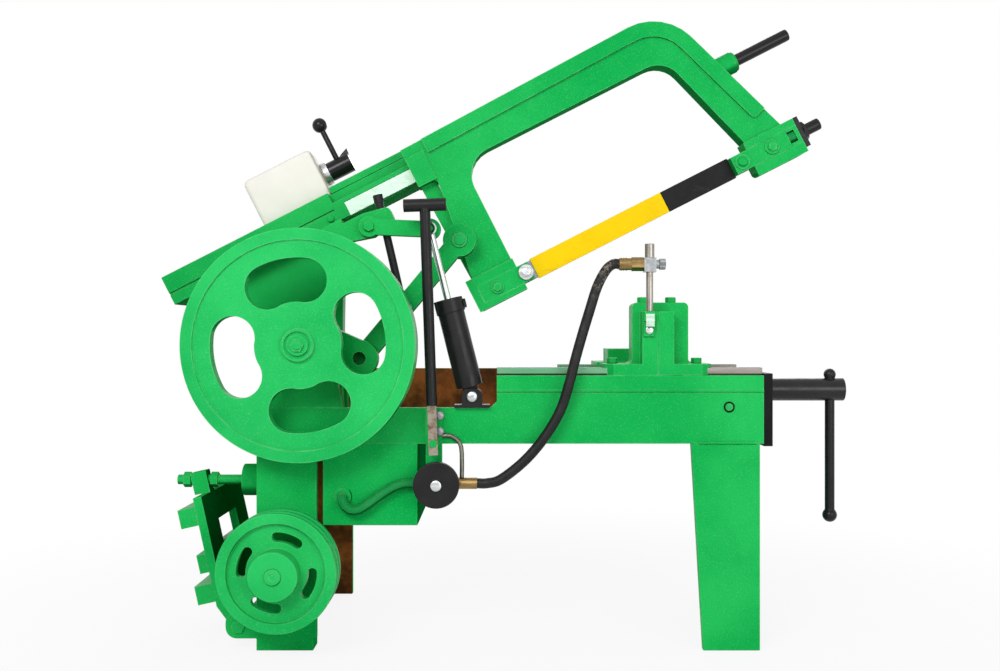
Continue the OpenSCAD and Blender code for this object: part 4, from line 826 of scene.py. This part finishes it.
class HACKSAW_OT_paint(bpy.types.Operator):
    """Paint the green castings and plates"""

    bl_idname = "hacksaw.paint"
    bl_label = "Green paint"

    def execute(self, context):
        s = sizes()
        dress("bed", "bed_green", s.plate_edge)
        dress("left_leg", "leg_green", s.plate_edge)
        for node in ("flywheel", "drive_pulley"):
            dress(node, "wheel_green", s.plate_edge)
        dress("countershaft", "wheel_green", s.fine_edge)
        dress("motor_plate", "plate_green", s.plate_edge)
        dress("coolant_tank", "tank_green", s.plate_edge)
        dress("crank_pin", "shade_green", s.fine_edge)
        dress("suction_pipe", "shade_green")
        dress("motor_hinge_pin", "machine_green", s.fine_edge)
        dress("bow_frame", "machine_green", s.plate_edge, join_faces=False)
        for node in ("fixed_jaw", "movable_jaw", "arm_pedestal", "saw_arm", "main_bearing", "lift_bracket",
                     "crankshaft"):
            dress(node, "machine_green", s.cast_edge)
        for node in ("right_leg", "guide_beam", "connecting_rod", "wrist_pin", "slide_keeper",
                     "rear_blade_clamp", "blade_slide", "lift_arm", "pump_bracket", "fixed_jaw_bolts",
                     "movable_jaw_bolts", "post_clip", "clamp_bars", "belt_tie"):
            dress(node, "machine_green", s.plate_edge)
        return {"FINISHED"}


class HACKSAW_OT_metals(bpy.types.Operator):
    """Finish the black, bare and plastic pieces"""

    bl_idname = "hacksaw.metals"
    bl_label = "Bare and black pieces"

    def execute(self, context):
        s = sizes()
        for node in ("tension_plate", "tension_screw", "trip_rod", "cylinder_bracket", "lift_cylinder",
                     "pump_wheel", "tommy_bar"):
            dress(node, "machine_black", s.plate_edge)
        dress("vise_end_plates", "plate_black", s.plate_edge)
        dress("vise_screw", "screw_black", s.plate_edge)
        for node in ("bow_handle", "switch_lever"):
            dress(node, "knob_black", s.plate_edge)
        dress("control_lever", "lever_paint", s.cast_edge)
        dress("ways", "way_steel", s.fine_edge)
        dress("guide_strip", "strip_steel", s.fine_edge)
        for node in ("arm_pivot_pin", "coolant_tee"):
            dress(node, "worn_steel", s.fine_edge)
        dress("bypass_pipe", "pipe_steel")
        dress("blade", "blade_steel")
        dress("piston_rod", "chrome_rod", s.fine_edge)
        dress("coolant_post", "post_steel", s.fine_edge)
        dress("switch_boss", "boss_aluminium", s.fine_edge)
        dress("switch_box", "cream_cover", s.box_edge)
        dress("blade_sleeve", "sleeve_yellow", s.plate_edge)
        dress("blade_sleeve_end", "sleeve_black", s.plate_edge)
        for node in ("pump_fittings", "hose_fitting"):
            dress(node, "brass", s.fine_edge)
        dress("pump_body", "pump_iron", s.fine_edge)
        return {"FINISHED"}


# Fittings of the bow, with its places in millimetres: along the beam, in depth and square to the beam

BLADE_LINE = -53
CLAMP_FRONT = -65
PIN_STANDS_OUT = 3
BOLT_STANDS_OUT = 5.6
REAR_CLAMP = 314
REAR_PIN = 367
FRONT_PIN = 767
FRONT_CLAMP = 822
TENSION_DEPTH = -53.15
SLOT_START = 853.6
SLOT_END = 872.8
SLOT_WALL = 5.2
SLOT_FLOOR = 6.8
SLOT_LOW = -68.2
SLOT_HIGH = -37.8
TENSION_NUT = 881
TENSION_TIP = 910.6
HANDLE_DEPTH = -40
HANDLE_LINE = 104
HANDLE_COLLAR = 834
HANDLE_END = 933.6
WRIST_PIN = 293
WRIST_PIN_LINE = 42


def on_clamp(along, stands_out):
    """A frame on the blade's line that faces the front, so far out from the clamps' front."""
    return aim(on_arm(along, CLAMP_FRONT - stands_out, BLADE_LINE), FRONT)


def on_tension_screw(along, turn=0.0):
    """A frame on the tension screw's axis that faces its nut's end."""
    return aim(on_arm(along, TENSION_DEPTH, BLADE_LINE), BEAM, turn)


def on_handle(along):
    """A frame on the handle's axis that faces its free end."""
    return aim(on_arm(along, HANDLE_DEPTH, HANDLE_LINE), BEAM)


def on_wrist_pin(depth):
    """A frame on the wrist pin's axis that faces the front."""
    return aim(on_arm(WRIST_PIN, depth, WRIST_PIN_LINE), FRONT)


class HACKSAW_OT_bow_fittings(bpy.types.Operator):
    """Add the bolts and washers of the bow, its flange, the blade clamps and the tension screw"""

    bl_idname = "hacksaw.bow_fittings"
    bl_label = "Bow fittings"

    def clamp_heads(self):
        """Heads and washers on the blade's pins and clamp bolts."""
        form = bmesh.new()
        washer(form, on_clamp(REAR_PIN, PIN_STANDS_OUT), outer=0.0128, inner=0.003, height=0.0022)
        hex_head(form, on_clamp(REAR_PIN, PIN_STANDS_OUT + 2), across=0.013, height=0.005)
        piece("rear_pin_bolt", form, "bow", "bright_steel")
        form = bmesh.new()
        washer(form, on_clamp(REAR_CLAMP, 0), outer=0.0115, inner=0.0066, height=0.0026)
        dome(form, on_clamp(REAR_CLAMP, BOLT_STANDS_OUT), radius=0.0058, height=0.0012)
        piece("rear_clamp_washer", form, "bow", "machine_green")
        form = bmesh.new()
        dome(form, on_clamp(FRONT_PIN, PIN_STANDS_OUT), radius=0.0078, height=0.0045)
        washer(form, on_clamp(FRONT_CLAMP, 0), outer=0.0125, inner=0.0066, height=0.0028)
        dome(form, on_clamp(FRONT_CLAMP, BOLT_STANDS_OUT), radius=0.0058, height=0.0014)
        piece("front_clamp_heads", form, "blade", "machine_green")

    def tension_end(self):
        """The tension screw's nut and sleeve, and the wall of the slot that the sleeve shows in."""
        form = bmesh.new()
        hex_head(form, on_tension_screw(TENSION_NUT, turn=0.3), across=0.029, height=0.006)
        dome(form, on_tension_screw(TENSION_TIP), radius=0.0096, height=0.0022)
        piece("tension_nut", form, "tension_screw", "machine_black")
        form = bmesh.new()
        turned(form, on_tension_screw(SLOT_START),
               [(0.0102, 0), (0.0103, 0.0005), (0.0103, 0.0185), (0.0102, 0.019)])
        piece("tension_sleeve", form, "tension_screw", "shade_green")
        inner_end = SLOT_END - SLOT_FLOOR
        inner_high = SLOT_HIGH - SLOT_WALL
        inner_low = SLOT_LOW + SLOT_WALL
        form = bmesh.new()
        wall = [
            (SLOT_START, SLOT_HIGH), (SLOT_START, inner_high), (inner_end, inner_high),
            (inner_end, inner_low), (SLOT_START, inner_low), (SLOT_START, SLOT_LOW),
            (SLOT_END, SLOT_LOW), (SLOT_END, SLOT_HIGH),
        ]
        plate(form, on_arm, wall, front=-64.9, back=-63.7)
        piece("tension_slot_wall", form, "bow", "machine_green")

    def handle_ends(self):
        """The handle's domed end and the lip of its collar."""
        form = bmesh.new()
        dome(form, on_handle(HANDLE_END), radius=0.0098, height=0.0045)
        piece("handle_end", form, "bow", "knob_black")
        form = bmesh.new()
        washer(form, on_handle(HANDLE_COLLAR), outer=0.0165, inner=0.0102, height=0.005)
        piece("handle_collar_lip", form, "bow", "machine_green")

    def rear_leg(self):
        """The wrist pin's head and the thin flange of the rear leg."""
        form = bmesh.new()
        washer(form, on_wrist_pin(-91.4), outer=0.0128, inner=0.004, height=0.0022)
        dome(form, on_wrist_pin(-93.2), radius=0.0092, height=0.0032)
        piece("wrist_pin_head", form, "bow", "wheel_green")
        form = bmesh.new()
        flange = [(275.5, 161), (304, 161), (304, 140), (285, -20), (281, -20)]
        plate(form, on_arm, flange, front=-47, back=-23)
        soften(piece("rear_leg_flange", form, "bow", "machine_green"), sizes().plate_edge)

    def execute(self, context):
        self.clamp_heads()
        self.tension_end()
        self.handle_ends()
        self.rear_leg()
        return {"FINISHED"}


# Fittings of the frame, with places in millimetres

BRACKET_BOLT_HEIGHTS = (372, 347)
CYLINDER_FOOT = mm(-50, 0, 402)
BED_PLUG = mm(356, 0, 385)
WELD_START = 309
WELD_RUN = 90
WELD_STEPS = 60
WELD_DEPTH = -140.6
WELD_HEIGHT = 328.2
WELD_RIPPLE = 0.5
# How much the weld's radius varies, in metres
WELD_UNEVEN = 0.0005
KNURLS = 24
# A knurl's depth as a share of the plug's radius
KNURL_DEPTH = 0.035


class HACKSAW_OT_frame_fittings(bpy.types.Operator):
    """Add the small heads, the weld and the plug of the frame and the fittings of the coolant post"""

    bl_idname = "hacksaw.frame_fittings"
    bl_label = "Frame fittings"

    def heads(self):
        """Heads of the pump bracket's bolts, of the cylinder's pin and of a screw in the arm."""
        form = bmesh.new()
        for height in BRACKET_BOLT_HEIGHTS:
            place = aim(mm(-101.5, -146, height), FRONT, turn=0.2)
            hex_head(form, place, across=0.0105, height=0.004, seat=0.0072)
        piece("bracket_bolts", form, "frame", "worn_steel")
        form = bmesh.new()
        dome(form, aim(CYLINDER_FOOT + mm(0, -149.6, 0), FRONT), radius=0.0085, height=0.0055)
        piece("cylinder_pin_head", form, "frame", "bright_steel")
        form = bmesh.new()
        dome(form, aim(on_arm(117.6, -40, 175.5), FRONT), radius=0.0062, height=0.0042)
        piece("beam_screw", form, "arm", "machine_green")

    def bed_plug(self):
        """The plug in the bed's front, on a black ring that paints the shadow round it."""
        form = bmesh.new()
        # A black ring as painted shadow round the plug
        washer(form, aim(BED_PLUG + mm(0, -140, 0), FRONT), outer=0.0088, inner=0.0061, height=0.0012)
        piece("plug_shadow_ring", form, "frame", "plate_black")
        form = bmesh.new()
        hex_head(form, aim(BED_PLUG + mm(0, -142, 0), FRONT, turn=0.3), across=0.0085, height=0.0018)
        piece("plug_head", form, "frame", "machine_green")

    def leg_weld(self):
        """The bead of the right leg, with ripples in its line and its width."""
        radius = sizes().weld_width / 2
        line = []
        for k in range(WELD_STEPS + 1):
            height = WELD_HEIGHT + WELD_RIPPLE * math.sin(k * 1.9)
            line.append(mm(WELD_START + WELD_RUN * k / WELD_STEPS, WELD_DEPTH, height))
        form = bmesh.new()
        swept(form, line, lambda i: radius + WELD_UNEVEN * math.sin(i * 2.3), sides=10)
        piece("leg_weld", form, "frame", "machine_green", sharp=60)

    def coolant_post(self):
        """The clip's bolt and pale plate, the rings of the hose's ferrule and the tee's knurled plug."""
        form = bmesh.new()
        hex_head(form, aim(mm(229, -145, 506), FRONT, turn=0.25), across=0.011, height=0.0045)
        piece("clip_bolt", form, "frame", "bright_steel")
        form = bmesh.new()
        plate(form, mm, rectangle(222.5, 236, 512, 532), front=-157.2, back=-156)
        soften(piece("clip_plate", form, "frame", "strip_steel"), 0.0004)
        form = bmesh.new()
        for forward in (0.0025, 0.0065, 0.0105):
            place = aim(HOSE_ROUTE[-1] + RIGHT * forward, RIGHT)
            washer(form, place, outer=0.0102, inner=0.0093, height=0.0018)
        piece("ferrule_rings", form, "frame", "brass")
        form = bmesh.new()
        profile = [(0.0074, 0), (0.0084, 0.0008), (0.0084, 0.0092), (0.0076, 0.0102), (0.0045, 0.0102),
                   (0.0042, 0.0085)]
        turned(form, aim(mm(243.5, -150, 610), RIGHT), profile, sides=4 * KNURLS,
               shape=lambda radius, angle: radius * (1 + KNURL_DEPTH * math.cos(KNURLS * angle)))
        piece("knurled_plug", form, "frame", "worn_steel")

    def execute(self, context):
        self.heads()
        self.bed_plug()
        self.leg_weld()
        self.coolant_post()
        return {"FINISHED"}


# Fittings of the wheels, with depths in millimetres

HUB_FRONT = -206
HUB_NUT_FRONT = -214


class HACKSAW_OT_drive_fittings(bpy.types.Operator):
    """Add the rings of the flywheel's hub and the caps of the pulley's shaft and the pump"""

    bl_idname = "hacksaw.drive_fittings"
    bl_label = "Drive fittings"

    def execute(self, context):
        form = bmesh.new()
        hub = aim(SHAFT + mm(0, HUB_FRONT, 0), FRONT)
        washer(form, hub, outer=0.0255, inner=0.0205, height=0.0028)
        washer(form, hub, outer=0.0168, inner=0.0085, height=0.004)
        dome(form, aim(SHAFT + mm(0, HUB_NUT_FRONT, 0), FRONT), radius=0.0066, height=0.0022)
        piece("hub_rings", form, "flywheel", "wheel_green")
        form = bmesh.new()
        profile = [(0.0124, 0), (0.0124, 0.0022), (0.0112, 0.0034), (0.006, 0.0034), (0.0052, 0.0022),
                   (0.002, 0.0022)]
        turned(form, aim(mm(-343, -250, 140), FRONT), profile)
        piece("shaft_cap", form, "pulley", "wheel_green")
        form = bmesh.new()
        dome(form, aim(mm(-105, -182, 266), FRONT), radius=0.0084, height=0.002)
        piece("pump_bolt_cap", form, "pump_wheel", "bright_steel")
        return {"FINISHED"}


# Fittings of the arm and the lift cylinder, with the plug's place on the cylinder in metres

LIFT_PIN = mm(-117.3, 0, 667.5)
PLUG_HEIGHT = 0.146
PLUG_REACH = 0.0228


class HACKSAW_OT_arm_fittings(bpy.types.Operator):
    """Add the guide beam's cap, the pointer of the rotary lever and the lift cylinder's plug"""

    bl_idname = "hacksaw.arm_fittings"
    bl_label = "Arm fittings"

    def execute(self, context):
        form = bmesh.new()
        plate(form, on_arm, rectangle(135.4, 299.5, 217.1, 229), front=-12, back=59)
        soften(piece("beam_cap", form, "arm", "machine_green"), sizes().plate_edge)
        form = bmesh.new()
        pointer = [(170, 280.5), (178, 285), (190.5, 290), (189.5, 281), (186.5, 276), (172, 276)]
        plate(form, on_arm, pointer, front=53.5, back=60.5)
        soften(piece("switch_pointer", form, "switch", "knob_black"), sizes().plate_edge)
        form = bmesh.new()
        up = (LIFT_PIN - CYLINDER_FOOT).normalized()
        side = Vector((up.z, 0, -up.x))
        plug = CYLINDER_FOOT + mm(0, -134, 0) + up * PLUG_HEIGHT + side * PLUG_REACH
        hex_head(form, aim(plug, side, turn=0.2), across=0.013, height=0.004)
        piece("cylinder_plug", form, "cylinder", "machine_black")
        return {"FINISHED"}


# Panel and registration


class HACKSAW_PT_panel(bpy.types.Panel):
    """Lists the steps that finish the machine"""

    bl_idname = "HACKSAW_PT_panel"
    bl_label = "Power hacksaw"
    bl_space_type = "VIEW_3D"
    bl_region_type = "UI"
    bl_category = "Hacksaw"

    def draw(self, context):
        for step in STEPS:
            self.layout.operator(step.bl_idname)


STEPS = (
    HACKSAW_OT_stage, HACKSAW_OT_hose, HACKSAW_OT_paint, HACKSAW_OT_metals, HACKSAW_OT_bow_fittings,
    HACKSAW_OT_frame_fittings, HACKSAW_OT_drive_fittings, HACKSAW_OT_arm_fittings,
)
GROUPS = (HacksawColours, HacksawSizes, HacksawStage)


def register():
    for item in (*GROUPS, *STEPS, HACKSAW_PT_panel):
        bpy.utils.register_class(item)
    bpy.types.Scene.hacksaw_colours = bpy.props.PointerProperty(type=HacksawColours)
    bpy.types.Scene.hacksaw_sizes = bpy.props.PointerProperty(type=HacksawSizes)
    bpy.types.Scene.hacksaw_stage = bpy.props.PointerProperty(type=HacksawStage)


def unregister():
    for name in ("hacksaw_colours", "hacksaw_sizes", "hacksaw_stage"):
        delattr(bpy.types.Scene, name)
    for item in reversed((*GROUPS, *STEPS, HACKSAW_PT_panel)):
        bpy.utils.unregister_class(item)


def main():
    """Runs every step."""
    register()
    for step in STEPS:
        group, name = step.bl_idname.split(".")
        getattr(getattr(bpy.ops, group), name)()


if __name__ == "__main__":
    main()
